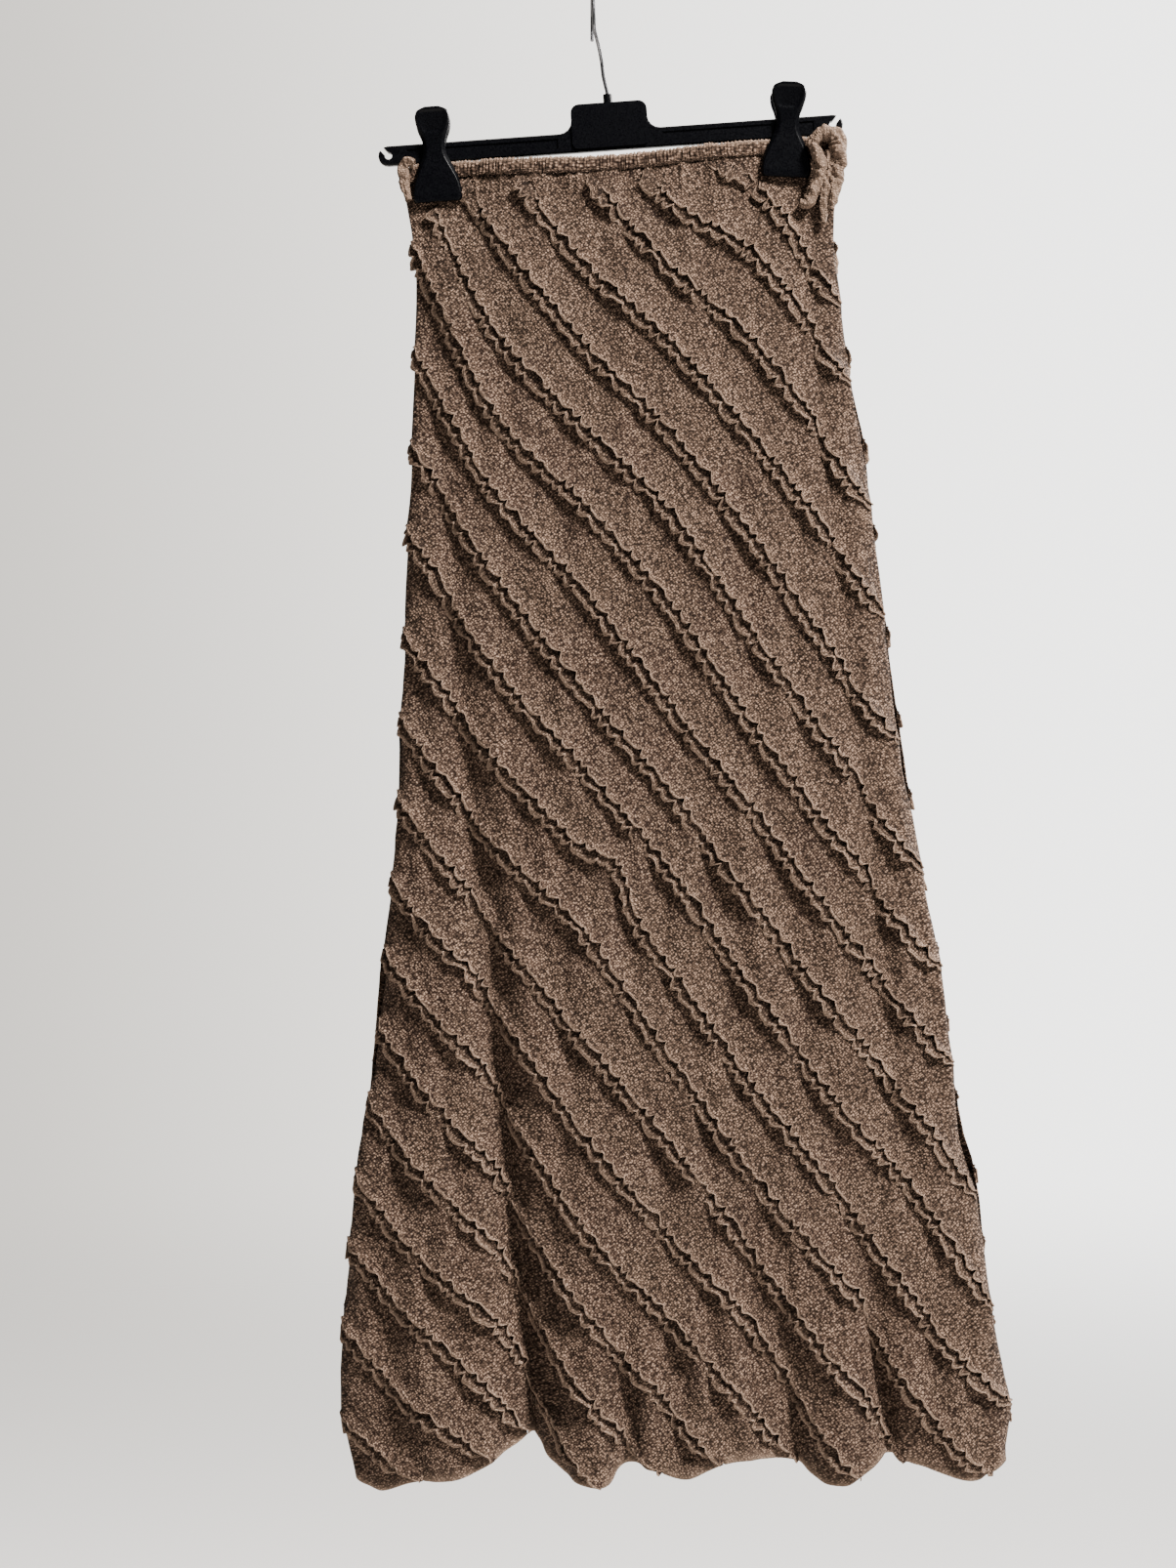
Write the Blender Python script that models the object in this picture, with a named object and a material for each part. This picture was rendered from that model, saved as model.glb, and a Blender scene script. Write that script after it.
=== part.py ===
"""Maxi skirt pieced from diagonal strips with frilled seams, hung by two clips from a hanger.

Blender 4.5, metres, +Z up, the skirt's front toward -Y and its left edge, as seen, toward -X.
The origin is the inner top of the hook, where the hanger hangs. Sizes and tables are in millimetres:
"drop" is the distance below the origin and "x" the distance to its right.
"""
import bisect
import math

import bmesh
import bpy
import numpy as np
from mathutils import Matrix, Vector

MM = 0.001

# ---- cloth ---------------------------------------------------------------------------------------
WALL = 1.2                 # thickness of the cloth wall
SIDE_GAP = 0.15            # from the plane between front and back to each of them
SEAM_GAP = 0.22            # half of the gap between two strips, measured straight down
TAPER = 2.6                # least height of a strip where it runs out at the waist or the hem
COLUMNS = 22               # cells across a panel
COLUMN_EVENNESS = 0.62     # 1 spaces the columns evenly, less crowds them toward the side edges

# One row for each level of the skirt, as it hangs.
SECTION_COLUMNS = ("drop", "left edge", "right edge", "front bulge", "back bulge")
SECTIONS = (
    (100, -137.0, 180.0, 6.0, 5.0),
    (135, -138.0, 178.5, 6.5, 5.0),
    (160, -134.0, 175.0, 8.0, 6.0),
    (180, -130.0, 174.0, 9.5, 7.0),
    (225, -127.0, 180.0, 12.0, 8.0),
    (280, -128.0, 187.0, 14.0, 9.0),
    (330, -130.0, 196.5, 16.0, 10.0),
    (375, -132.0, 202.0, 18.0, 11.0),
    (445, -135.0, 210.0, 20.0, 12.0),
    (515, -137.0, 218.5, 22.0, 13.0),
    (590, -140.0, 230.0, 24.0, 14.0),
    (640, -143.5, 238.0, 25.0, 15.0),
    (710, -151.0, 250.0, 27.0, 16.0),
    (775, -158.5, 258.5, 29.0, 17.0),
    (825, -165.0, 266.0, 30.0, 18.0),
    (860, -169.5, 276.0, 31.0, 18.5),
    (930, -177.5, 284.0, 33.0, 19.5),
    (985, -179.5, 293.0, 34.5, 20.0),
    (1025, -178.5, 301.0, 35.5, 20.5),
    (1055, -173.0, 299.5, 36.0, 21.0),
    (1090, -167.0, 292.0, 36.0, 21.0),
)

# The top of the waist hangs just under the sloping bar.
WAIST_COLUMNS = ("x", "drop")
WAIST_LINE = (
    (-140, 133.0), (-126, 126.4), (-100, 124.6), (-60, 123.0), (-40, 122.8), (0, 121.6),
    (30, 119.5), (66, 115.0), (95, 111.4), (130, 108.2), (157, 106.4), (183, 105.0),
)
CASING_HEIGHT = 10.0       # elastic casing at the waist
CASING_THICKNESS = 3.4
CASING_GAP = 0.3

# The hem lifts in each fold and drops on each ridge between them.
HEM_COLUMNS = ("x", "drop")
HEM_LINE = (
    (-181, 1052), (-168, 1074), (-155, 1080), (-126, 1071), (-95, 1068), (-61, 1050), (-40, 1040),
    (-28, 1058), (-8, 1070), (11, 1070), (24, 1058), (40, 1060), (68, 1066), (89, 1057),
    (126, 1054), (145, 1057), (172, 1072), (189, 1069), (204, 1056), (242, 1064), (277, 1072),
    (299, 1060),
)

# Where each seam crosses nine upright lines of the front panel, numbered from the upper right.
# None is a crossing beyond the waist, the hem or the side edge.
CROSSING_X = (-179, -130, -67, -4, 59, 122, 185, 248, 304)
SEAM_PITCH = 61.3          # from one seam down to the next, used for the crossings not listed
SEAM_CROSSINGS = (
    (None, None, None, 19, 112, 139, 235, None, None),
    (None, None, None, 80, 150, 191, 280, None, None),
    (None, None, 62, 130, 198, 256, 346, None, None),
    (None, None, 109, 194, 252, 325, 410, None, None),
    (None, 70, 171, 252, 317, 398, 491, 578, None),
    (None, 126, 242, 312, 375, 467, 557, 651, None),
    (None, 179, 302, 368, 441, 533, 618, 704, None),
    (None, 252, 359, 429, 513, 592, 678, 759, None),
    (None, 322, 419, 501, 575, 659, 742, 823, 914),
    (None, 387, 485, 557, 631, 721, 806, 880, 985),
    (None, 465, 550, 618, 701, 790, 869, 960, 1023),
    (None, 529, 611, 673, 764, 853, 930, 1026, 1085),
    (None, 588, 672, 750, 825, 909, 995, 1085, None),
    (None, 652, 727, 816, 891, 961, 1058, None, None),
    (None, 711, 785, 883, 950, 1023, 1113, None, None),
    (704, 772, 848, 941, 1012, 1092, None, None, None),
    (770, 833, 902, 1000, 1073, None, None, None, None),
    (834, 896, 956, 1058, 1137, None, None, None, None),
    (894, 945, 1008, 1119, None, None, None, None, None),
    (956, 1007, 1058, 1176, None, None, None, None, None),
    (1023, 1063, 1119, None, None, None, None, None, None),
)
# One seam steps up in the middle of the front, where its strip was cut short.
STEP_SEAM, STEP_X, STEP_RISE, STEP_REACH = 11, 22.0, 22.0, 17.0

# The frill of a seam: the upper strip's allowance stands, the lower strip's leans down.
STANDING_HEIGHT = 7.0
STANDING_LEAN = 1.8
STANDING_THICKNESS = 1.7   # measured down the panel, across the slanting seam
LEANING_HEIGHT = 5.2
LEANING_DROP = 9.0
EDGE_RIM = 0.5             # the overlocked edge is this much thicker than the wall
SIDE_FRILL = 0.22          # part of its height that a frill keeps where it meets the side edge
WAVE_COLUMNS = 4           # columns to a wave of the frill
WAVE_SWAY = 1.4            # how far the waves sway up and down
WAVE_LIFT = 0.6            # and how far they rise and fall
WAVE_SHIFT = 2.3           # angle in radians by which the waves of a seam lag those a pitch above
WAIST_FRILL_ROOM = 22.0    # a frill reaches its full height this far below the waist
HEM_FRILL, HEM_FRILL_ROOM = 0.35, 14.0  # part left of its height at the hem, and the room it needs
NARROWEST_STRIP = 5.0      # a strip this high or less has no frill
LEANING_ROOM, STANDING_ROOM = 24.0, 16.0  # further height of strip that each full frill needs

# The long folds, one row each. They run from the upper to the lower point and grow on the way.
# A positive depth is a trough toward the middle of the skirt, a negative one a ridge.
FOLD_COLUMNS = ("x top", "drop top", "x bottom", "drop bottom", "width top", "width bottom",
                "depth top", "depth bottom")
FRONT_FOLDS = (
    (-118, 225, -41, 1050, 9, 19, 1.5, 25.0),
    (-125, 165, -57, 300, 9, 12, -3.0, -2.5),
    (27, 900, 26, 1060, 10, 9, 0.0, 9.0),
    (92, 790, 146, 1060, 12, 22, 0.0, 17.0),
    (166, 760, 218, 1060, 12, 18, 0.0, 18.0),
    (153, 175, 208, 700, 9, 12, 2.5, 4.5),
    (-112, 760, -112, 1070, 24, 24, 0.0, -7.0),
    (-8, 860, -6, 1070, 16, 15, 0.0, -5.0),
    (178, 860, 178, 1070, 14, 14, 0.0, -6.0),
    (258, 820, 272, 1070, 16, 16, 0.0, -4.0),
)
BACK_FOLDS = (
    (160, 330, 96, 1060, 12, 20, 1.0, 12.0),
    (10, 520, -22, 1060, 12, 20, 0.5, 11.0),
    (-64, 700, -110, 1060, 12, 16, 0.0, 8.0),
    (210, 760, 214, 1060, 14, 16, 0.0, 7.0),
    (60, 800, 40, 1060, 16, 16, 0.0, -4.0),
)
FOLD_GROWTH = 1.6          # power by which a fold deepens along its length
FOLD_START = 0.12          # part of its length over which a fold sets in above its upper point
FOLD_EDGE_ROOM = 0.16      # part of the half width in which folds die out toward a side edge
BULGE_POWERS = (2.4, 0.55)  # shape of a panel's level section: higher is squarer, then rounder
LEAST_BULGE = 0.3
FOLD_TURN = 0.4            # how far a fold turns the edges that stand on it
PROBE = 4.0                # distance over which the slope of a panel is measured
SIDE_EDGE = 0.9999         # beyond this part of the half width a place is on the side edge

# Beyond the right clip the end of the waist is rolled forward: up a hanging stub, round a loose loop
# and down the side edge.
ROLL_COLUMNS = ("x", "forward of the middle", "drop", "radius")
ROLL_ROUTE = (
    (149.0, 12.0, 155.0, 2.4), (154.5, 12.0, 155.5, 3.8), (158.5, 12.0, 148.0, 4.3),
    (162.0, 12.0, 138.5, 4.4), (164.0, 12.4, 128.5, 4.0), (161.0, 13.0, 120.5, 3.4),
    (159.0, 12.6, 113.5, 3.5), (162.5, 10.6, 107.0, 4.4), (169.5, 9.5, 105.2, 5.4),
    (175.5, 8.6, 108.7, 6.2), (177.8, 7.8, 116.5, 6.4), (177.6, 7.5, 126.5, 6.0),
    (176.0, 7.7, 137.0, 5.2), (173.5, 8.6, 147.0, 4.2), (171.0, 9.8, 157.0, 2.8),
)
ROLL_SIDES = 8

# ---- hanger --------------------------------------------------------------------------------------
BAR_CENTRE = (13.3, 108.5)  # x and drop of the middle of the bar
BAR_TILT = math.radians(4.05)
BAR_LENGTH = 336.0
BAR_HEIGHT = 14.0
BAR_THICKNESS = 6.0
TAB_WIDTH, TAB_TOP, TAB_THICKNESS = 55.0, 27.0, 8.6
TAB_CORNER, TAB_SHOULDER = 6.0, 9.0
COLLAR_RADIUS, COLLAR_TOP = 3.2, 33.5
SOCKET_RADIUS, SOCKET_DEPTH = 1.7, 9.0
GROOVE_HEIGHT, GROOVE_DEPTH, GROOVE_START, GROOVE_END = 7.0, 0.9, 38.0, 147.0
NOTCH_RADIUS, NOTCH_SLOT, NOTCH_INSET = 2.7, 3.4, 7.4

WIRE_RADIUS = 1.35
HOOK_RADIUS = 22.0         # of the wire's centre line round the crown
HOOK_BACK_ANGLE = -28.0    # degrees from level at which the wire ends behind the crown
HOOK_FRONT_ANGLE = 212.0   # degrees at which the neck joins the round
HOOK_STEP = 12.0
NECK_COLUMNS = ("x", "forward of the middle", "drop")
NECK_ROUTE = ((8.1, 0.2, 62.0), (6.9, 1.4, 52.0), (4.8, 6.0, 42.5), (2.9, 12.6, 36.6))
HOOK_LEAN = 1.5            # how far right of the crown the wire is where the neck joins the round
WIRE_SIDES = 10

# ---- clips ---------------------------------------------------------------------------------------
# A jaw from its handle down to its lip, one row for each level.
JAW_COLUMNS = ("distance down the clip", "half width", "inner face", "thickness")
JAW_SECTIONS = (
    (0.0, 5.5, 10.9, 2.0), (1.6, 9.6, 10.6, 2.4), (4.5, 11.9, 10.0, 2.6), (9.0, 12.4, 8.9, 2.7),
    (14.0, 11.4, 7.6, 2.8), (20.0, 9.2, 6.2, 2.9), (27.0, 8.2, 5.0, 3.0), (34.0, 9.2, 4.5, 3.2),
    (42.0, 12.6, 4.5, 3.2), (50.0, 15.8, 4.5, 3.2), (58.0, 17.6, 4.5, 3.2), (59.5, 17.8, 3.9, 3.8),
    (65.0, 17.6, 3.9, 3.6), (67.0, 16.2, 3.9, 3.2),
)
JAW_CORNER = 1.0
SPRING_WIDTH, SPRING_THICKNESS, SPRING_GAP, SPRING_ARM = 12.0, 0.8, 0.3, 14.0
# x and drop of the top of each clip's handle, and its lean in degrees
CLIPS = {"left": (-115.6, 86.5, 4.0), "right": (141.8, 68.5, -2.0)}
CLIP_LENGTH = 67.0
CLIP_REACH = 19.0          # the cloth is flat for this distance either side of a clip's middle
CLIP_FOOT = 70.0           # and to this distance below the top of its handle
CLIP_FADE = 40.0           # and swells again over this distance
CLIP_FLATNESS = 0.95       # part of the bulge that a clip presses away
FRILL_REACH, FRILL_FOOT, FRILL_FADE = 34.0, 88.0, 14.0  # the same for the frills


# ---- curves and tables ---------------------------------------------------------------------------
def smooth_curve(table, column=1):
    """A function that reads a table's column by a smooth curve through its rows."""
    xs = [float(row[0]) for row in table]
    ys = [float(row[column]) for row in table]
    slopes = [float(value) for value in np.gradient(ys, xs)]

    def read(x):
        x = min(max(x, xs[0]), xs[-1])
        i = min(max(bisect.bisect_left(xs, x) - 1, 0), len(xs) - 2)
        width = xs[i + 1] - xs[i]
        t = (x - xs[i]) / width
        start = ys[i] * (1 + 2 * t) * (1 - t) ** 2 + slopes[i] * width * t * (1 - t) ** 2
        end = ys[i + 1] * t * t * (3 - 2 * t) - slopes[i + 1] * width * t * t * (1 - t)
        return start + end

    return read


def fade(distance, reach, width):
    """1 up to reach, then falling smoothly to 0 over width."""
    t = min(max((distance - reach) / width, 0.0), 1.0)
    return 1 - t * t * (3 - 2 * t)


def complete_crossings():
    """Fill each crossing that isn't listed from the nearest listed seam, a pitch at a time."""
    rows = [list(row) for row in SEAM_CROSSINGS]
    for column in range(len(CROSSING_X)):
        listed = [k for k, row in enumerate(SEAM_CROSSINGS) if row[column] is not None]
        for k, row in enumerate(rows):
            if row[column] is None:
                nearest = min(listed, key=lambda other: abs(other - k))
                row[column] = SEAM_CROSSINGS[nearest][column] + SEAM_PITCH * (k - nearest)
    return rows


SEAM_COUNT = len(SEAM_CROSSINGS)
SEAM_CURVES = [smooth_curve(list(zip(CROSSING_X, row))) for row in complete_crossings()]
LEFT_EDGE, RIGHT_EDGE = smooth_curve(SECTIONS, 1), smooth_curve(SECTIONS, 2)
FRONT_BULGE, BACK_BULGE = smooth_curve(SECTIONS, 3), smooth_curve(SECTIONS, 4)
WAIST_CURVE, HEM_CURVE = smooth_curve(WAIST_LINE), smooth_curve(HEM_LINE)


def seam_drop(seam, x):
    """Drop of a seam of the front panel at x."""
    drop = SEAM_CURVES[seam - 1](x)
    if seam == STEP_SEAM:
        drop -= STEP_RISE * math.exp(-((x - STEP_X) / STEP_REACH) ** 2)
    return drop


# ---- the two panels' surfaces ----------------------------------------------------------------------
class Panel:
    """Inner face of the front or the back of the skirt, and what is laid out on it."""

    def __init__(self, front):
        self.front = front
        self.sign = -1.0 if front else 1.0
        self.folds = FRONT_FOLDS if front else BACK_FOLDS
        self.bulge = FRONT_BULGE if front else BACK_BULGE

    def edges(self, drop):
        return LEFT_EDGE(drop) + WALL, RIGHT_EDGE(drop) - WALL

    def x_at(self, s, drop):
        """s runs from -1 at the left edge to 1 at the right edge."""
        left, right = self.edges(drop)
        return (left + right) / 2 + s * (right - left) / 2

    def pressed(self, x, drop, reach, foot, width):
        """1 where a clip presses the cloth flat, 0 away from it."""
        amount = 0.0
        for clip_x, clip_drop, lean in CLIPS.values():
            middle = clip_x + math.sin(math.radians(lean)) * CLIP_LENGTH * 0.8
            across = fade(abs(x - middle), reach, width)
            amount = max(amount, across * fade(drop, clip_drop + foot, width))
        return amount

    def fold_depth(self, x, s, drop):
        total = 0.0
        for x0, drop0, x1, drop1, width0, width1, depth0, depth1 in self.folds:
            along = (drop - drop0) / (drop1 - drop0)
            if along < -FOLD_START:
                continue
            t = min(max(along, 0.0), 1.1)
            centre = x0 + (x1 - x0) * t
            width = width0 + (width1 - width0) * t
            depth = depth0 + (depth1 - depth0) * t ** FOLD_GROWTH
            start = min(along / FOLD_START + 1, 1.0)
            end = fade(along, 1.05, 0.5)
            total += depth * start * end * math.exp(-((x - centre) / width) ** 2)
        return total * min((1 - abs(s)) / FOLD_EDGE_ROOM, 1.0)

    def point(self, s, drop, folded=True):
        """A point of the inner face, as (x, y, z)."""
        x = self.x_at(s, drop)
        if abs(s) > SIDE_EDGE:
            return np.array([x, self.sign * SIDE_GAP, -drop])
        squareness, roundness = BULGE_POWERS
        bulge = self.bulge(drop) * (1 - abs(s) ** squareness) ** roundness
        if folded:
            bulge -= self.fold_depth(x, s, drop)
        flat = CLIP_FLATNESS * self.pressed(x, drop, CLIP_REACH, CLIP_FOOT, CLIP_FADE)
        bulge = max(bulge * (1 - flat), LEAST_BULGE * (1 - s * s))
        return np.array([x, self.sign * (SIDE_GAP + bulge), -drop])

    def outward(self, s, drop, folded):
        """The way out of the panel's surface."""
        down = self.point(s, drop + PROBE, folded) - self.point(s, drop - PROBE, folded)
        right, left = min(s + 0.02, 0.999), max(s - 0.02, -0.999)
        across = self.point(right, drop, folded) - self.point(left, drop, folded)
        out = np.cross(across, down)
        out *= math.copysign(1.0, out[1] * self.sign)
        return out / np.linalg.norm(out)

    def frame(self, s, drop):
        """A point of the inner face, the way down the panel and the way out of it."""
        here = self.point(s, drop)
        down = self.point(s, drop + PROBE) - self.point(s, drop - PROBE)
        down /= np.linalg.norm(down)
        if abs(s) > SIDE_EDGE:
            side = math.copysign(1.0, s)
            return here, down, np.array([-down[2], 0.0, down[0]]) * side
        out = (1 - FOLD_TURN) * self.outward(s, drop, False) + FOLD_TURN * self.outward(s, drop, True)
        return here, down, out / np.linalg.norm(out)

    def seam_at(self, seam, s):
        """Drop at which a seam crosses the column s. The back's pattern is the front's turned round."""
        drop = 600.0
        for _ in range(30):
            left, right = self.edges(drop)
            x = self.x_at(s, drop)
            drop = 0.5 * drop + 0.5 * seam_drop(seam, x if self.front else left + right - x)
        return drop

    def line_at(self, line, s):
        """Drop at which the waist or hem line crosses the column s."""
        drop = line(0.0)
        for _ in range(12):
            drop = line(self.x_at(s, drop))
        return drop


def column_positions():
    """Positions of the columns across a panel, from -1 to 1, closer together at the sides."""
    positions = []
    for i in range(COLUMNS + 1):
        t = 2 * i / COLUMNS - 1
        positions.append(COLUMN_EVENNESS * t + (1 - COLUMN_EVENNESS) * math.sin(math.pi / 2 * t))
    return positions


def lay_out(panel, positions):
    """Drops of the cut top, the seams and the hem on each column, None where a seam is cut away."""
    tops = [panel.line_at(WAIST_CURVE, s) + CASING_HEIGHT + CASING_GAP for s in positions]
    hems = [panel.line_at(HEM_CURVE, s) for s in positions]
    raw = [[panel.seam_at(k, s) for s in positions] for k in range(1, SEAM_COUNT + 1)]
    layout = []
    for drops in raw:
        row = []
        for j, drop in enumerate(drops):
            near = [i for i in (j - 1, j + 1) if 0 <= i < len(drops)]
            if drop < tops[j] + TAPER:
                runs_on = any(drops[i] > tops[i] + TAPER for i in near)
                row.append((tops[j] + TAPER) if runs_on else "above")
            elif drop > hems[j] - TAPER:
                runs_on = any(drops[i] < hems[i] - TAPER for i in near)
                row.append((hems[j] - TAPER) if runs_on else "below")
            else:
                row.append(drop)
        layout.append(row)
    return tops, hems, layout


def frill_scale(panel, s, drop, top, hem, j, room):
    """How much of its full height a frill has at a place: less at the edges and under a clip."""
    edge = SIDE_FRILL if j in (0, COLUMNS) else 1.0
    at_top = min(max((drop - top - TAPER) / WAIST_FRILL_ROOM, 0.0), 1.0)
    at_hem = HEM_FRILL + (1 - HEM_FRILL) * min(max((hem - drop) / HEM_FRILL_ROOM, 0.0), 1.0)
    free = 1 - panel.pressed(panel.x_at(s, drop), drop, FRILL_REACH, FRILL_FOOT, FRILL_FADE)
    return min(edge * at_top * at_hem * free, max(room, 0.0))


def strip_section(panel, s, j, upper, lower, seams, top, hem):
    """Eight points round a strip on one column: wall, standing edge below, leaning edge above."""
    height = lower - upper
    here, down, out = panel.frame(s, upper)
    there, down_low, out_low = panel.frame(s, lower)
    gap = min(SEAM_GAP, 0.2 * height)
    has_upper, has_lower = seams
    spare = height - NARROWEST_STRIP
    lean = frill_scale(panel, s, upper, top, hem, j, spare / LEANING_ROOM) if has_upper else 0.0
    stand = frill_scale(panel, s, lower, top, hem, j, spare / STANDING_ROOM) if has_lower else 0.0
    phase = 2 * math.pi * j / WAVE_COLUMNS
    sway_up = math.sin(phase + WAVE_SHIFT * upper / SEAM_PITCH) * lean
    sway_low = math.sin(phase + WAVE_SHIFT * lower / SEAM_PITCH) * stand
    rim = WALL + EDGE_RIM
    reach_up = max((LEANING_DROP + WAVE_SWAY * sway_up) * lean, 0.3)
    rise_up = max((LEANING_HEIGHT - WAVE_LIFT * sway_up) * lean, rim)
    reach_low = max((STANDING_LEAN + WAVE_SWAY * sway_low) * stand, 0.1)
    rise_low = max((STANDING_HEIGHT + WAVE_LIFT * sway_low) * stand, rim)
    slope = math.atan2(rise_up, reach_up)
    root_up = min(reach_up * WALL / rise_up + WALL / math.sin(slope), 0.3 * height)
    thick = min(STANDING_THICKNESS, 0.25 * height)
    return [
        here + gap * down,
        there - gap * down_low,
        there - (gap + reach_low) * down_low + rise_low * out_low,
        there - (gap + reach_low + thick) * down_low + rise_low * out_low,
        there - (gap + reach_low * WALL / rise_low + thick) * down_low + WALL * out_low,
        here + (gap + root_up) * down + WALL * out,
        here + (gap + reach_up + 0.25 * root_up) * down + (rise_up - 0.7 * WALL * lean) * out,
        here + (gap + reach_up) * down + rise_up * out,
    ]


# ---- meshes --------------------------------------------------------------------------------------
def material(name, colour, roughness, metallic=0.0):
    made = bpy.data.materials.get(name) or bpy.data.materials.new(name)
    made.use_nodes = True
    shader = made.node_tree.nodes["Principled BSDF"]
    shader.inputs["Base Color"].default_value = (*colour, 1.0)
    shader.inputs["Roughness"].default_value = roughness
    shader.inputs["Metallic"].default_value = metallic
    made.diffuse_color = (*colour, 1.0)
    return made


def add_mesh(name, points, faces, surface):
    """Add a closed mesh given in millimetres, with its faces turned outward."""
    mesh = bpy.data.meshes.new(name)
    mesh.from_pydata([tuple(float(value) * MM for value in point) for point in points], [], faces)
    shape = bmesh.new()
    shape.from_mesh(mesh)
    if shape.calc_volume(signed=True) < 0:
        bmesh.ops.reverse_faces(shape, faces=shape.faces[:])
    shape.to_mesh(mesh)
    shape.free()
    mesh.materials.append(surface)
    made = bpy.data.objects.new(name, mesh)
    bpy.context.scene.collection.objects.link(made)
    return made


def strip_faces(points):
    """Triangles round a strip's sections, each cell cut along its better diagonal."""
    faces = []
    count = len(points) // 8
    for j in range(count - 1):
        a, b = 8 * j, 8 * (j + 1)
        turned = {4}
        for root, tip, sides in ((1, 2, (1, 3)), (0, 7, (7, 5))):
            here = np.linalg.norm(points[a + tip] - points[a + root])
            ahead = np.linalg.norm(points[b + tip] - points[b + root])
            turned.add(sides[0 if (ahead < 0.6 * here) == (root == 1) else 1])
        for edge in range(8):
            nxt = (edge + 1) % 8
            if edge in turned:
                faces.append((a + edge, b + nxt, a + nxt))
                faces.append((a + edge, b + edge, b + nxt))
            else:
                faces.append((a + edge, b + edge, a + nxt))
                faces.append((a + nxt, b + edge, b + nxt))
    caps = ((0, 1, 4), (0, 4, 5), (1, 2, 3), (1, 3, 4), (0, 5, 6), (0, 6, 7))
    last = 8 * (count - 1)
    faces += caps
    faces += [(last + c, last + b, last + a) for a, b, c in caps]
    return faces


def build_strips(panel, prefix, surface):
    positions = column_positions()
    if not panel.front:
        positions.reverse()
    tops, hems, layout = lay_out(panel, positions)
    for k in range(SEAM_COUNT + 1):
        points = []
        for j, s in enumerate(positions):
            above = layout[k - 1][j] if k > 0 else "above"
            below = layout[k][j] if k < SEAM_COUNT else "below"
            if above == "below" or below == "above":
                continue
            upper = tops[j] if above == "above" else above
            lower = hems[j] if below == "below" else below
            seams = (above != "above", below != "below")
            points += strip_section(panel, s, j, upper, lower, seams, tops[j], hems[j])
        add_mesh(f"{prefix}_{k + 1:02d}", points, strip_faces(points), surface)


def build_waistband(panel, name, surface):
    """The elastic casing: a band with a rounded top that stands a little proud of the panel."""
    profile = ((0.0, CASING_HEIGHT), (0.0, 0.6), (0.9, 0.0), (2.5, 0.0),
               (CASING_THICKNESS, 1.6), (CASING_THICKNESS, CASING_HEIGHT - 1.2),
               (CASING_THICKNESS - 1.0, CASING_HEIGHT))
    points = []
    positions = column_positions()
    for s in positions:
        top = panel.line_at(WAIST_CURVE, s)
        here, down, out = panel.frame(s, top)
        side = 0.6 if abs(s) > SIDE_EDGE else 1.0
        points += [here + drop * down + side * depth * out for depth, drop in profile]
    ring = len(profile)
    add_mesh(name, points, tube_faces(len(positions), ring), surface)


def tube_faces(count, ring):
    """Quads between sections of ring points each, with an end face at each end."""
    faces = [tuple(range(ring))]
    for j in range(count - 1):
        for i in range(ring):
            nxt = (i + 1) % ring
            a, b = ring * j, ring * (j + 1)
            faces.append((a + i, b + i, b + nxt, a + nxt))
    faces.append(tuple(reversed(range(ring * (count - 1), ring * count))))
    return faces


def add_tube(name, route, radii, sides, surface):
    """A round tube along a route of points."""
    route = [Vector(point) for point in route]
    normal = Vector((1, 0, 0))
    points = []
    for i, centre in enumerate(route):
        before, after = route[max(i - 1, 0)], route[min(i + 1, len(route) - 1)]
        along = (after - before).normalized()
        normal = (normal - along * normal.dot(along)).normalized()
        other = along.cross(normal)
        for side in range(sides):
            angle = 2 * math.pi * side / sides
            points.append(centre + radii[i] * (math.cos(angle) * normal + math.sin(angle) * other))
    made = add_mesh(name, points, tube_faces(len(route), sides), surface)
    made.data.shade_smooth()
    return made


def smooth_route(route, per_span):
    """Points along a smooth curve through the route's points, in every value they hold."""
    route = [np.array(point, float) for point in route]
    result = []
    for i in range(len(route) - 1):
        p0, p1, p2, p3 = route[max(i - 1, 0)], route[i], route[i + 1], route[min(i + 2, len(route) - 1)]
        for step in range(per_span):
            t = step / per_span
            result.append(0.5 * (2 * p1 + (p2 - p0) * t + (2 * p0 - 5 * p1 + 4 * p2 - p3) * t ** 2
                                 + (3 * p1 - p0 - 3 * p2 + p3) * t ** 3))
    result.append(route[-1])
    return result


def build_roll(surface):
    """The end of the waist that is bunched up and hangs forward beyond the right clip."""
    route = smooth_route([(x, -forward, -drop, radius) for x, forward, drop, radius in ROLL_ROUTE], 2)
    add_tube("waist_roll", [point[:3] for point in route], [float(point[3]) for point in route],
             ROLL_SIDES, surface)


# ---- hanger --------------------------------------------------------------------------------------
def arc(centre_x, centre_z, radius, start, end, steps):
    """Points of an arc, its angles in degrees."""
    angles = [math.radians(start + (end - start) * i / steps) for i in range(steps + 1)]
    return [(centre_x + radius * math.cos(a), centre_z + radius * math.sin(a)) for a in angles]


def plate(name, outline, thickness, surface, bevel=0.0):
    """A flat plate in the plane of the bar, centred on it."""
    half = thickness / 2
    count = len(outline)
    points = [(x, -half, z) for x, z in outline] + [(x, half, z) for x, z in outline]
    faces = [tuple(range(count)), tuple(reversed(range(count, 2 * count)))]
    for i in range(count):
        nxt = (i + 1) % count
        faces.append((i, i + count, nxt + count, nxt))
    made = add_mesh(name, points, faces, surface)
    if bevel:
        soften = made.modifiers.new("edges", "BEVEL")
        soften.width = bevel * MM
        soften.segments = 1
        soften.limit_method = "ANGLE"
        soften.angle_limit = math.radians(50)
    return made


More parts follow.
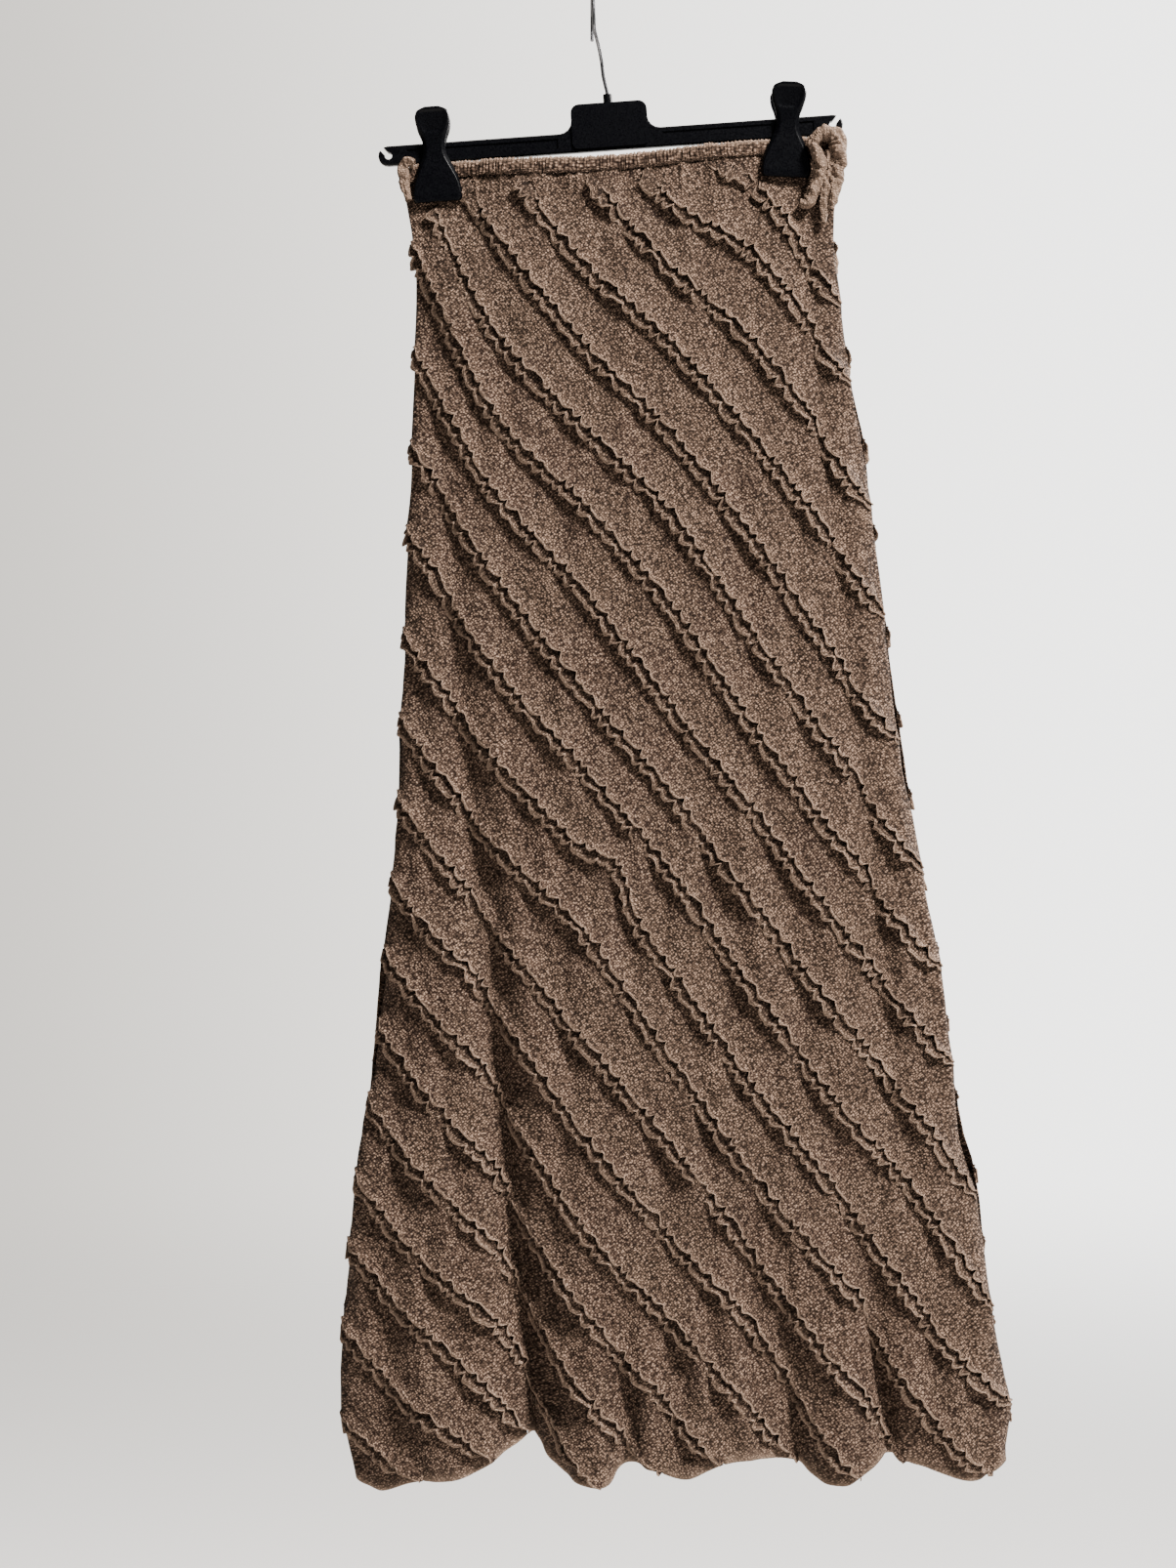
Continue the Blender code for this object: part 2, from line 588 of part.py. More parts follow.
def bar_outline():
    """Outline of the bar with round ends and the shoulders of its tab."""
    half, end = BAR_HEIGHT / 2, BAR_LENGTH / 2 - BAR_HEIGHT / 2
    shoulder = TAB_WIDTH / 2 + TAB_SHOULDER
    right = arc(end, 0, half, -90, 90, 8)
    right += arc(shoulder, half + TAB_SHOULDER, TAB_SHOULDER, 270, 180, 4)
    left = [(-x, z) for x, z in reversed(right)]
    return right + left


def tab_outline():
    half = TAB_WIDTH / 2
    low = -BAR_HEIGHT / 2 + 2.0
    top = arc(half - TAB_CORNER, TAB_TOP - TAB_CORNER, TAB_CORNER, 0, 90, 5)
    bottom = arc(half - 4.0, low + 4.0, 4.0, -90, 0, 3)
    right = bottom + top
    return right + [(-x, z) for x, z in reversed(right)]


def cutter_for(host, cutter, operation):
    cut = host.modifiers.new(cutter.name, "BOOLEAN")
    cut.operation = operation
    cut.solver = "EXACT"
    cut.object = cutter
    cutter.hide_render = True
    cutter.display_type = "WIRE"


def cylinder(name, radius, low, high, sides, surface):
    """An upright round post between two heights."""
    points = [(radius * math.cos(2 * math.pi * i / sides), radius * math.sin(2 * math.pi * i / sides), z)
              for z in (low, high) for i in range(sides)]
    return add_mesh(name, points, tube_faces(2, sides), surface)


def build_bar(surface):
    bar = plate("hanger_bar", bar_outline(), BAR_THICKNESS, surface, bevel=1.0)
    tab = plate("tab_form", tab_outline(), TAB_THICKNESS, surface)
    collar = cylinder("collar_form", COLLAR_RADIUS, TAB_TOP - 4, COLLAR_TOP, 14, surface)
    bore = cylinder("bore_form", SOCKET_RADIUS, COLLAR_TOP - SOCKET_DEPTH, COLLAR_TOP + 2, 10, surface)
    cutter_for(bar, tab, "UNION")
    cutter_for(bar, collar, "UNION")
    cutter_for(bar, bore, "DIFFERENCE")
    tools = [tab, collar, bore]
    for side, direction in (("left", -1), ("right", 1)):
        for face in (-1, 1):
            middle = direction * (GROOVE_START + GROOVE_END) / 2
            length = (GROOVE_END - GROOVE_START) / 2
            half = GROOVE_HEIGHT / 2
            outline = [(middle - length, -half), (middle + length, -half),
                       (middle + length, half), (middle - length, half)]
            groove = plate(f"groove_{side}_{'front' if face < 0 else 'back'}", outline,
                           2 * GROOVE_DEPTH, surface)
            groove.location.y = face * BAR_THICKNESS / 2 * MM
            cutter_for(bar, groove, "DIFFERENCE")
            tools.append(groove)
        notch_x = direction * (BAR_LENGTH / 2 - NOTCH_INSET)
        hole = plate(f"notch_{side}", arc(notch_x, 0, NOTCH_RADIUS, 0, 330, 11), 20.0, surface)
        cutter_for(bar, hole, "DIFFERENCE")
        half = NOTCH_SLOT / 2
        reach = 14.0
        corners = ((-0.5, -half), (reach, -half), (reach, half), (-0.5, half))
        turn = math.radians(50 if direction > 0 else 130)
        outline = [(notch_x + a * math.cos(turn) - b * math.sin(turn),
                    a * math.sin(turn) + b * math.cos(turn)) for a, b in corners]
        slot = plate(f"slot_{side}", outline, 20.0, surface)
        cutter_for(bar, slot, "DIFFERENCE")
        tools += [hole, slot]
    place = Matrix.Translation((BAR_CENTRE[0] * MM, 0, -BAR_CENTRE[1] * MM))
    place @= Matrix.Rotation(-BAR_TILT, 4, "Y")
    for made in [bar] + tools:
        made.matrix_world = place @ Matrix.Translation(made.location)


def build_hook(surface):
    """The wire: out of the socket, forward, round the crown and down behind."""
    up = (math.sin(-BAR_TILT), math.cos(BAR_TILT))
    base = COLLAR_TOP - SOCKET_DEPTH + 0.3
    foot = (BAR_CENTRE[0] + base * up[0], 0.0, -BAR_CENTRE[1] + base * up[1])
    mouth = (BAR_CENTRE[0] + (COLLAR_TOP + 2) * up[0], 0.0,
             -BAR_CENTRE[1] + (COLLAR_TOP + 2) * up[1])
    neck = [foot, mouth] + [(x, -forward, -drop) for x, forward, drop in NECK_ROUTE]
    centre_z = WIRE_RADIUS - HOOK_RADIUS
    steps = round((HOOK_FRONT_ANGLE - HOOK_BACK_ANGLE) / HOOK_STEP)
    crown = []
    for i in range(steps + 1):
        angle = HOOK_FRONT_ANGLE - HOOK_STEP * i
        turn = math.radians(angle)
        lean = HOOK_LEAN * max(angle - 90, 0) / (HOOK_FRONT_ANGLE - 90)
        crown.append((lean, HOOK_RADIUS * math.cos(turn), centre_z + HOOK_RADIUS * math.sin(turn)))
    route = [tuple(point) for point in smooth_route(neck[1:] + crown[:2], 2)[:-1]]
    route = [foot] + route + crown[1:]
    add_tube("hanger_hook", route, [WIRE_RADIUS] * len(route), WIRE_SIDES, surface)


def clip_matrix(x, drop, lean):
    place = Matrix.Translation((x * MM, 0, -drop * MM))
    return place @ Matrix.Rotation(-math.radians(lean), 4, "Y")


def build_jaw(name, sign, place, surface):
    """One jaw, a plate that flares out at its handle and closes to a lip below."""
    points = []
    for down, half, inner, thickness in JAW_SECTIONS:
        outer = inner + thickness
        ring = ((-half, inner), (half, inner), (half, outer - JAW_CORNER),
                (half - JAW_CORNER, outer), (-half + JAW_CORNER, outer), (-half, outer - JAW_CORNER))
        points += [(x, sign * y, -down) for x, y in ring]
    jaw = add_mesh(name, points, tube_faces(len(JAW_SECTIONS), 6), surface)
    jaw.matrix_world = place


def build_spring(name, place, bar_top, surface):
    """A strip of steel bent over the bar, an arm down inside each jaw."""
    inner = BAR_THICKNESS / 2 + SPRING_GAP
    outer = inner + SPRING_THICKNESS
    low, high = -bar_top - SPRING_ARM, -bar_top + SPRING_GAP
    outline = [(-outer, low), (-inner, low), (-inner, high), (inner, high), (inner, low),
               (outer, low), (outer, high + SPRING_THICKNESS), (-outer, high + SPRING_THICKNESS)]
    half = SPRING_WIDTH / 2
    points = [(side * half, y, z) for side in (-1, 1) for y, z in outline]
    spring = add_mesh(name, points, tube_faces(2, len(outline)), surface)
    spring.matrix_world = place


def build_clips(plastic, steel):
    for side, (x, drop, lean) in CLIPS.items():
        place = clip_matrix(x, drop, lean)
        build_jaw(f"clip_{side}_front_jaw", -1, place, plastic)
        build_jaw(f"clip_{side}_back_jaw", 1, place, plastic)
        along = (x - BAR_CENTRE[0]) * math.tan(BAR_TILT)
        bar_top = BAR_CENTRE[1] - along - BAR_HEIGHT / 2 / math.cos(BAR_TILT) - drop
        slant = SPRING_WIDTH / 2 * math.tan(BAR_TILT + math.radians(abs(lean)))
        build_spring(f"clip_{side}_spring", place, bar_top - slant, steel)


def main():
    for old in list(bpy.data.objects):
        bpy.data.objects.remove(old, do_unlink=True)
    cloth = material("cloth", (0.30, 0.22, 0.165), 0.85)
    black = material("black_plastic", (0.015, 0.015, 0.016), 0.35)
    wire = material("bright_wire", (0.75, 0.75, 0.76), 0.25, 1.0)
    spring = material("spring_steel", (0.55, 0.55, 0.56), 0.35, 1.0)
    for front, word in ((True, "front"), (False, "back")):
        panel = Panel(front)
        build_strips(panel, f"{word}_strip", cloth)
        build_waistband(panel, f"waistband_{word}", cloth)
    build_roll(cloth)
    build_bar(black)
    build_hook(wire)
    build_clips(black, spring)


main()
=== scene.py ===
"""Looks of a maxi skirt pieced from diagonal crinkled strips, hung by two clips from a hanger.

Lengths are in millimetres, and on the stage in metres. "drop" is the distance below the origin and
"x" the distance to its right, as in the part's source, whose forms this script repeats and refines.
"""
import math

import bpy
import numpy as np
from mathutils import Matrix, Vector


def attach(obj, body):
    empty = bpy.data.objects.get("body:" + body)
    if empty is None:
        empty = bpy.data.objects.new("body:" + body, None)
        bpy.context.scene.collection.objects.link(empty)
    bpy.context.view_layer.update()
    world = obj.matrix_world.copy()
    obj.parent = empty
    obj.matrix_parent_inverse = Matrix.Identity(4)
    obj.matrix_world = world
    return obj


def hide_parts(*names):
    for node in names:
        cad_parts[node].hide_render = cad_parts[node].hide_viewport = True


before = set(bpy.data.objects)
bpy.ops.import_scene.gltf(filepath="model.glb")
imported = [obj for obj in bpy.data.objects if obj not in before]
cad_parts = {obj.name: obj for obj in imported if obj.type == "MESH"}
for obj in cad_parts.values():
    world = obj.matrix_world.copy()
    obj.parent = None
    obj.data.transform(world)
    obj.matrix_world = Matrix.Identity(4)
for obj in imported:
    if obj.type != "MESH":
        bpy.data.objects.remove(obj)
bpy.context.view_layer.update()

MM = 0.001

# ---- the skirt's form ----
WALL = 1.2  # the solids' wall, which the cloth runs in the middle of
SIDE_GAP = 0.15  # from the middle plane to a panel's inner face at its sides
SEAM_GAP = 0.25  # from a seam to the walls above and below it
GAP_SHARE = 0.2  # the most of its height that a low strip gives to each of these gaps

# Columns: drop, left edge, right edge, front bulge, back bulge.
SECTIONS = (
    (100, -137, 180, 6, 5), (135, -138, 178.5, 6.5, 5), (160, -134, 175, 8, 6),
    (180, -130, 174, 9.5, 7), (225, -127, 180, 12, 8), (280, -128, 187, 14, 9),
    (330, -130, 196.5, 16, 10), (375, -132, 202, 18, 11), (445, -135, 210, 20, 12),
    (515, -137, 218.5, 22, 13), (590, -140, 230, 24, 14), (640, -143.5, 238, 25, 15),
    (710, -151, 250, 27, 16), (775, -158.5, 258.5, 29, 17), (825, -165, 266, 30, 18),
    (860, -169.5, 276, 31, 18.5), (930, -177.5, 284, 33, 19.5), (985, -179.5, 293, 34.5, 20),
    (1025, -178.5, 301, 35.5, 20.5), (1055, -173, 299.5, 36, 21), (1090, -167, 292, 36, 21),
)

# Columns of both lines: x, drop.
WAIST_LINE = (
    (-140, 133), (-126, 126.4), (-100, 124.6), (-60, 123), (-40, 122.8), (0, 121.6),
    (30, 119.5), (66, 115), (95, 111.4), (130, 108.2), (157, 106.4), (183, 105),
)
CASING_HEIGHT = 10.0
CASING_THICKNESS = 3.4
CASING_GAP = 0.3  # from the casing to the strips below it
HEM_LINE = (
    (-181, 1052), (-168, 1074), (-155, 1080), (-126, 1071), (-95, 1068), (-61, 1050), (-40, 1040),
    (-28, 1058), (-8, 1070), (11, 1070), (24, 1058), (40, 1060), (68, 1066), (89, 1057),
    (126, 1054), (145, 1057), (172, 1072), (189, 1069), (204, 1056), (242, 1064), (277, 1072),
    (299, 1060),
)

# Drops at which the seams cross upright lines of the front panel, from the upper right on. A row
# starts with the number of its first line. Other crossings lie past the waist, the hem or a side.
CROSSING_X = (-179, -130, -67, -4, 59, 122, 185, 248, 304)
SEAM_PITCH = 61.3
SEAM_CROSSINGS = (
    (3, 19, 112, 139, 235),
    (3, 80, 150, 191, 280),
    (2, 62, 130, 198, 256, 346),
    (2, 109, 194, 252, 325, 410),
    (1, 70, 171, 252, 317, 398, 491, 578),
    (1, 126, 242, 312, 375, 467, 557, 651),
    (1, 179, 302, 368, 441, 533, 618, 704),
    (1, 252, 359, 429, 513, 592, 678, 759),
    (1, 322, 419, 501, 575, 659, 742, 823, 914),
    (1, 387, 485, 557, 631, 721, 806, 880, 985),
    (1, 465, 550, 618, 701, 790, 869, 960, 1023),
    (1, 529, 611, 673, 764, 853, 930, 1026, 1085),
    (1, 588, 672, 750, 825, 909, 995, 1085),
    (1, 652, 727, 816, 891, 961, 1058),
    (1, 711, 785, 883, 950, 1023, 1113),
    (0, 704, 772, 848, 941, 1012, 1092),
    (0, 770, 833, 902, 1000, 1073),
    (0, 834, 896, 956, 1058, 1137),
    (0, 894, 945, 1008, 1119),
    (0, 956, 1007, 1058, 1176),
    (0, 1023, 1063, 1119),
)
SEAM_COUNT = len(SEAM_CROSSINGS)
STEP_SEAM, STEP_X, STEP_RISE = 11, 23.0, 23.0
STEP_REACHES = (21.0, 10.0)  # on its left and on its right, where it falls steeply
# A seam's drop is found in rounds from this drop, each going this part of the way.
SEAM_ROUNDS, SEAM_START, SEAM_STRIDE = 30, 600.0, 0.5
LINE_ROUNDS = 12

# Columns: x and drop of the top, x and drop of the bottom, width at both, depth at both.
FRONT_FOLDS = (
    (-118, 225, -41, 1050, 9, 19, 1.5, 25), (-125, 165, -57, 300, 9, 12, -3, -2.5),
    (27, 900, 26, 1060, 10, 9, 0, 9), (92, 790, 146, 1060, 12, 22, 0, 17),
    (166, 760, 218, 1060, 12, 18, 0, 18), (153, 175, 208, 700, 9, 12, 2.5, 4.5),
    (-112, 760, -112, 1070, 24, 24, 0, -7), (-8, 860, -6, 1070, 16, 15, 0, -5),
    (178, 860, 178, 1070, 14, 14, 0, -6), (258, 820, 272, 1070, 16, 16, 0, -4),
)
BACK_FOLDS = (
    (160, 330, 96, 1060, 12, 20, 1, 12), (10, 520, -22, 1060, 12, 20, 0.5, 11),
    (-64, 700, -110, 1060, 12, 16, 0, 8), (210, 760, 214, 1060, 14, 16, 0, 7),
    (60, 800, 40, 1060, 16, 16, 0, -4),
)
FOLD_GROWTH = 1.6  # power of the way down by which a fold deepens
# Parts of a fold's length: it starts over the first, runs on by the second, and fades over the last.
FOLD_START, FOLD_OVERRUN, FOLD_FADE_PLACE, FOLD_FADE = 0.12, 0.1, 1.05, 0.5
FOLD_EDGE_ROOM = 0.16  # part of the half width over which folds flatten toward a side
BULGE_POWERS = (2.4, 0.55)  # how square a section is, and how round at its sides
LEAST_BULGE = 0.3

# Softer creases, in the same columns, which deepen evenly.
FRONT_CREASES = (
    (-80, 150, -52, 330, 7, 12, 1.6, 0.4), (-52, 140, -20, 300, 8, 12, -1.4, -0.4),
    (-98, 190, -20, 420, 8, 16, 1.8, 1.4), (20, 140, 38, 260, 7, 9, 1.2, 0.3),
    (62, 132, 84, 230, 7, 9, 1, 0.3), (162, 180, 166, 300, 4, 5, 1.9, 1),
    (172, 175, 181, 330, 3.5, 5, -1.6, -0.8), (58, 480, 96, 700, 9, 13, 1.2, 1.6),
    (-20, 560, 2, 800, 10, 14, -1, -1.4), (118, 520, 150, 760, 9, 12, 1.4, 1.6),
    (-60, 800, -66, 1000, 9, 11, 1.2, 1.6), (52, 860, 60, 1060, 9, 12, 1.4, 2.6),
    (-138, 800, -142, 1060, 8, 11, 1, 2.4), (200, 600, 232, 880, 9, 12, 1.6, 2.2),
    (240, 880, 252, 1060, 8, 10, 1.4, 2.2), (-70, 640, -40, 1040, 4, 6, 0.6, 4.5),
    (8, 930, 31, 1064, 4, 6, 0.3, 2.4), (130, 800, 151, 1062, 4, 6, 0.3, 3.6),
    (176, 860, 222, 1062, 4, 6, 0.3, 3),
)
BACK_CREASES = (
    (-70, 150, -40, 360, 8, 13, 1.5, 0.5), (-20, 145, 0, 320, 8, 12, -1.3, -0.4),
    (60, 140, 84, 330, 8, 12, 1.4, 0.4), (110, 150, 96, 360, 7, 11, -1.4, -0.5),
    (-104, 300, -72, 640, 9, 14, 1.6, 1.8), (120, 420, 170, 720, 9, 13, 1.5, 1.8),
    (40, 500, 58, 760, 10, 14, -1.2, -1.4), (-60, 760, -44, 1050, 9, 13, 1.3, 2.4),
    (150, 780, 160, 1060, 9, 13, 1.4, 2.6), (250, 860, 258, 1060, 8, 11, 1.2, 2.2),
)

CLIPS = {"left": (-115.6, 86.5, 4.0), "right": (141.8, 68.5, -2.0)}  # x, drop, degrees of lean
CLIP_LENGTH = 67.0
PRESS_PLACE = 0.8  # part of a clip's length at which it presses the cloth
# A clip flattens the panel this far to its sides and down, and lets go over the fade.
CLIP_REACH, CLIP_FOOT, CLIP_FADE, CLIP_FLATNESS = 19.0, 70.0, 40.0, 0.95
FINE_FADE = 12.0  # for the crinkle
FRILL_REACH, FRILL_FOOT, FRILL_FADE = 19.0, 68.0, 4.0

# ---- the cloth's fine form ----
COLUMNS = {"front": 600, "back": 340}  # cells across each panel
COLUMN_EVENNESS = 0.62  # 1 is even, less is finer toward the sides
WALL_ROWS = 8
ROW_EVENNESS = 0.45  # of a strip's rows, toward its seams
FRILL_ROWS = 3
LEAST_WALL = 0.05
LEAST_HEIGHT = 0.8  # a strip ends where it is less high than this
LEAST_FRILL = 0.04  # an allowance ends at this part of its height
THICKNESS = 0.7
EDGE_THICKNESS = 1.15  # overlocked edge
NARROW_THICKNESS = (0.2, 0.4)  # the most at a strip's tip, and more per mm of its height

SEAM_RAISE = 2.5  # how far the cloth rises to a seam's root
RAISE_BELOW, RAISE_ABOVE = 8.5, 8.0  # over these distances below and above the seam
# The upper and the lower strip's allowance: length, degrees from straight out at its root and edge.
STANDING, LEANING = (5.3, 24.0, 66.0), (11.4, 92.0, 79.0)
CURL_POWER = 0.9  # below 1 an allowance turns sooner
LOBE_LENGTH = 12.0  # along the seam, from notch to notch
LOBE_REACH = 4.2  # how far the lobes reach beyond the edge's middle line
LOBE_POWER = 1.4  # above 1 they keep to the edge
LOBE_TURN, LOBE_STRETCH, LOBE_DIP = 0.22, 0.10, 0.45  # how a lobe turns, lengthens and sinks there
LOBE_DRIFT = 0.55  # unevenness of the lobes' lengths
LOBE_HEIGHTS = (0.95, 0.55)  # their height and its unevenness
LOBE_ROUNDNESS, LOBE_MEAN = 0.65, 0.68
SMALL_LOBE, SMALL_LOBE_MEAN = 0.16, 0.1
SMALL_LOBE_PACE = (2.3, 0.8)  # how many come to a lobe, and their unevenness
PUCKER, PUCKER_REACH = 0.55, 8.0
SIDE_FRILL, SIDE_ROOM = 0.4, 6.0  # part of the height left at the side edge, and the way to it
SEAM_END = 0.5  # a seam ends this near to the waist or the hem
WAIST_FRILL_ROOM = 5.0
HEM_FRILL, HEM_FRILL_ROOM = 0.6, 9.0
FRILL_STRIPS = (3.0, 17.0)  # widths of strip at which its frills begin and are full

CRINKLE = (0.30, 7.5, 3.6)  # height, length along the strip, length across it
CRUMPLE = (0.55, 26.0, 13.0)
WRINKLE = (0.55, 9.0, 34.0)  # fine folds across the strips, which grow toward the hem
WRINKLE_SLANT = 0.15
WRINKLE_DROPS = (350.0, 900.0)
CALM_REACH, CALM_LEAST = 3.0, 0.15  # these three are lower this near to a seam
DRAPE = (1.8, 13.0, 75.0)  # height, width and length of the soft upright waves
DRAPE_GROWTH = (0.8, 1.1)  # at the waist, and added toward the hem
DRAPE_SLANT = 0.12
GATHER_HEIGHT, GATHER_REACH = 1.0, 30.0
GATHER_SIZE = (3.1, 60.0)  # half a gather's width, and its length
HEM_RIPPLE, HEM_RIPPLE_REACH = 1.0, 9.0
HEM_RIPPLE_WIDTHS = (17.0, 29.0, 41.0)
LATTICE = (97, 89)  # cells after which an uneven pattern comes again
LATTICE_START = (11.3, 7.7)
DRAPE_SEED, GATHER_SEED, RIPPLE_SEED = 95, 77, 91
STRIP_SEEDS, PANEL_SEEDS = 40, 4000  # seeds set apart for each strip and for each panel
CASING_SEED, CASING_SEEDS = 700, 20
ROLL_SEED, ROLL_SEEDS = 810, 10

CASING_COLUMNS = {"front": 760, "back": 420}
CASING_SIDES = 19
CASING_JOIN = 140.0  # degrees round it from its outer side to the join of its cloth
CASING_OPENING = 0.04  # radians from the join to the cloth's edges
CASING_SQUARENESS = 3.4
CASING_ROOM = (0.45, 0.2)  # left for gathers in its thickness and its height
CASING_GATHER = (0.85, 1.3, 9.0)  # height, half a gather's width, and how far one runs
CASING_BUNCH = (0.45, 9.0, 40.0)  # height, length and way round of slower waves
CASING_RAGGED = (1.1, 0.7)  # reach past its upper and its lower edge
CASING_GRAIN = 0.7  # scale of the crinkle on the stretched cloth
CASING_TOP_HIGHLIGHT = 0.4  # share of the painted highlight colour along its upper edge
WRAP_THICKNESS = 0.5

# Columns: x, distance forward of the middle, drop, radius.
ROLLS = {
    "rolled_end": (
        (149, 12, 155, 2.4), (154.5, 12, 155.5, 3.8), (158.5, 12, 148, 4.3),
        (162, 12, 138.5, 4.4), (164, 12.4, 128.5, 4.2), (161, 13, 120.5, 4),
        (159, 12.6, 113.5, 4.2), (162.5, 10.6, 107, 5), (169.5, 9.5, 105.4, 5.9),
        (175.2, 8.6, 108.7, 6.5), (177.2, 7.8, 116.5, 6.7), (177, 7.5, 126.5, 6.4),
        (175.6, 7.7, 137, 5.6), (173.5, 8.6, 147, 4.6), (171, 9.8, 160, 2.8),
    ),
    "rolled_fold": (
        (170.5, 8, 117, 2.6), (170, 7.6, 124, 3.6), (169, 7.6, 134, 4.4),
        (167.5, 8, 146, 4.2), (166.5, 8.6, 158, 3.2), (166, 9.4, 170, 1.8),
    ),
    "rolled_start": (
        (-128, 6, 126, 2.6), (-132.5, 5.6, 125, 3.6), (-135.6, 5, 129, 4),
        (-136, 5, 137, 3.8), (-134.4, 5.6, 145, 3), (-132, 6.6, 153, 1.8),
    ),
}
ROLL_SIDES = 34
ROLL_STEPS = 10  # rings from one row to the next
ROLL_START = (1.0, 0.2, 0.1)  # the way from which a roll's angles are counted
ROLL_OPENING = 0.05  # radians between the edges of its cloth
ROLL_GIRTH = 4.8  # radius at which its creases are spaced
ROLL_BODY = 0.9  # part of the radius that is left between creases
ROLL_FOLD = 0.10  # the rest are parts of the radius too
ROLL_CRUMPLE, ROLL_CRUMPLE_SIZE = 0.26, (5.0, 2.4)
ROLL_CRINKLE, ROLL_CRINKLE_SIZE = 0.20, (1.9, 7.0)
# Share of the painted highlight colour mixed over the whole roll, which makes it evenly lighter.
ROLL_HIGHLIGHT = 0.15

GRAIN_ANGLE = 52.0  # degrees by which the strips fall toward their lower end
GRAIN_SHIFT = (37.0, 53.0)  # from strip to strip, so that no two have the same crinkle
PUFF_SIZE = (1.45, 1.9)  # of one puff of the crinkle, along a strip and across it
PUFF_UNEVENNESS = 0.62
PUFF_FOOT, PUFF_TOP = 0.75, 0.05  # distances from its middle, as parts of its size
# Grains over the puffs: share, size, detail, distortion.
GRAINS = ((0.32, (1.3, 2.4), 2.0, 0.35), (0.24, (2.2, 11.0), 2.0, 0.35))
PUFF_RELIEF = 1.5
CLOTH_TONES_WITH_PAINTED_SHADE = (  # the cloth's own brown, with painted shade deep in the grooves between the puffs and painted light on their tops
    (0.27, (0.0064, 0.0032, 0.0018)),
    (0.50, (0.053, 0.0337, 0.0235)),
    (0.78, (0.238, 0.159, 0.1146)),
)
TONE_SHIFT = ((0.32, (0.80, 0.79, 0.78)), (0.68, (1.15, 1.15, 1.15)))
TONE_PATCHES = ((34.0, 16.0), 3.0, 0.4)  # of lighter and darker cloth: size, detail, distortion
CLOTH_ROUGHNESS, CLOTH_SPECULAR = 0.9, 0.08
# Painted highlight: the lighter colour that the cloth's edges are mixed toward, where light catches them.
PAINTED_HIGHLIGHT_COLOUR = (0.38, 0.262, 0.190)
EDGE_HIGHLIGHT_SHARE = 0.42  # how much of the painted highlight an allowance's edge has
# Painted highlight along the hem's lower edge, and the distance over which it fades.
HEM_HIGHLIGHT, HEM_HIGHLIGHT_REACH = 0.3, 2.5
GROOVE_SHADE = 0.3  # part of its brightness the cloth keeps deep between two frills
GROOVE_START = 0.1  # part of a groove's depth at the leaning allowance's edge

# ---- hanger ----
# Columns: distance down the clip, half width, inner face, thickness, slant of the side.
JAW_SECTIONS = (
    (0, 5.5, 10.9, 2, 0.6), (1.6, 9.6, 10.6, 2.4, 0.8), (4.5, 11.9, 10, 2.6, 0.9),
    (9, 12.4, 8.9, 2.7, 1), (14, 11.4, 7.6, 2.8, 1.5), (20, 9.2, 6.2, 2.9, 2.2),
    (27, 8.2, 5, 3, 2.6), (34, 9.2, 4.5, 3.2, 2.8), (42, 12.6, 4.5, 3.2, 2.6),
    (50, 15.8, 4.5, 3.2, 1.8), (58, 17.6, 4.5, 3.2, 1.2), (59.5, 17.8, 3.9, 3.8, 1.2),
    (65, 17.6, 3.9, 3.6, 1.2), (67, 16.2, 3.9, 3.2, 1.2),
)
JAW_TOP, JAW_FOOT = (2.4, 0.2, 8), (2.2, 0.1, 7)  # rounded ends: length, first angle, rows
JAW_ROWS = (3, 62, 50)  # first, last and number of the rows between
JAW_INNER_COUNT, JAW_OUTER_COUNT = 13, 17
JAW_DISH = 0.8
JAW_DISH_PLACE, JAW_DISH_REACH, JAW_DISH_RIM = 10.0, 6.6, 1.6
JAW_DISH_WIDTH = 0.86  # part of the face's width

# Dark and light tone, least and most roughness, metal, specular, size of the grain, relief.
SURFACES = {
    "black plastic": ((0.0003, 0.0003, 0.0006), (0.0010, 0.0011, 0.0016), (0.24, 0.40), 0, 0.06,
                      (0.9, 0.9, 0.9), 0.03),
    "bright wire": ((0.08, 0.08, 0.085), (0.15, 0.15, 0.155), (0.22, 0.38), 1, 0.5,
                    (0.4, 0.4, 9), 0.02),
    "spring steel": ((0.22, 0.22, 0.23), (0.38, 0.38, 0.39), (0.28, 0.45), 1, 0.5,
                     (7, 0.5, 0.5), 0.02),
}
NODE_SURFACES = {"hanger_bar": "black plastic", "hanger_hook": "bright wire",
                 "clip_left_spring": "spring steel", "clip_right_spring": "spring steel"}
TONE_SPAN, GLOSS_SPAN = (0.35, 0.65), (0.3, 0.7)  # the noise's values between which these change
GRAIN_DETAIL, GRAIN_BUMP = 4.0, 0.5


# ---- curves and tables ----
def smooth_curve(table, column=1):
    """A function that reads a table's column by a smooth curve through its rows."""
    xs = np.array([row[0] for row in table], float)
    ys = np.array([row[column] for row in table], float)
    slopes = np.gradient(ys, xs)

    def read(x):
        x = np.clip(x, xs[0], xs[-1])
        i = np.clip(np.searchsorted(xs, x) - 1, 0, len(xs) - 2)
        width = xs[i + 1] - xs[i]
        t = (x - xs[i]) / width
        start = ys[i] * (1 + 2 * t) * (1 - t) ** 2 + slopes[i] * width * t * (1 - t) ** 2
        end = ys[i + 1] * t * t * (3 - 2 * t) - slopes[i + 1] * width * t * t * (1 - t)
        return start + end

    return read


def smooth(t):
    """From 0 to 1 as t is, but level at both ends."""
    return t * t * (3 - 2 * t)


def fade(distance, reach, width):
    """1 up to reach, then falling smoothly to 0 over width."""
    return 1 - smooth(np.clip((distance - reach) / width, 0.0, 1.0))


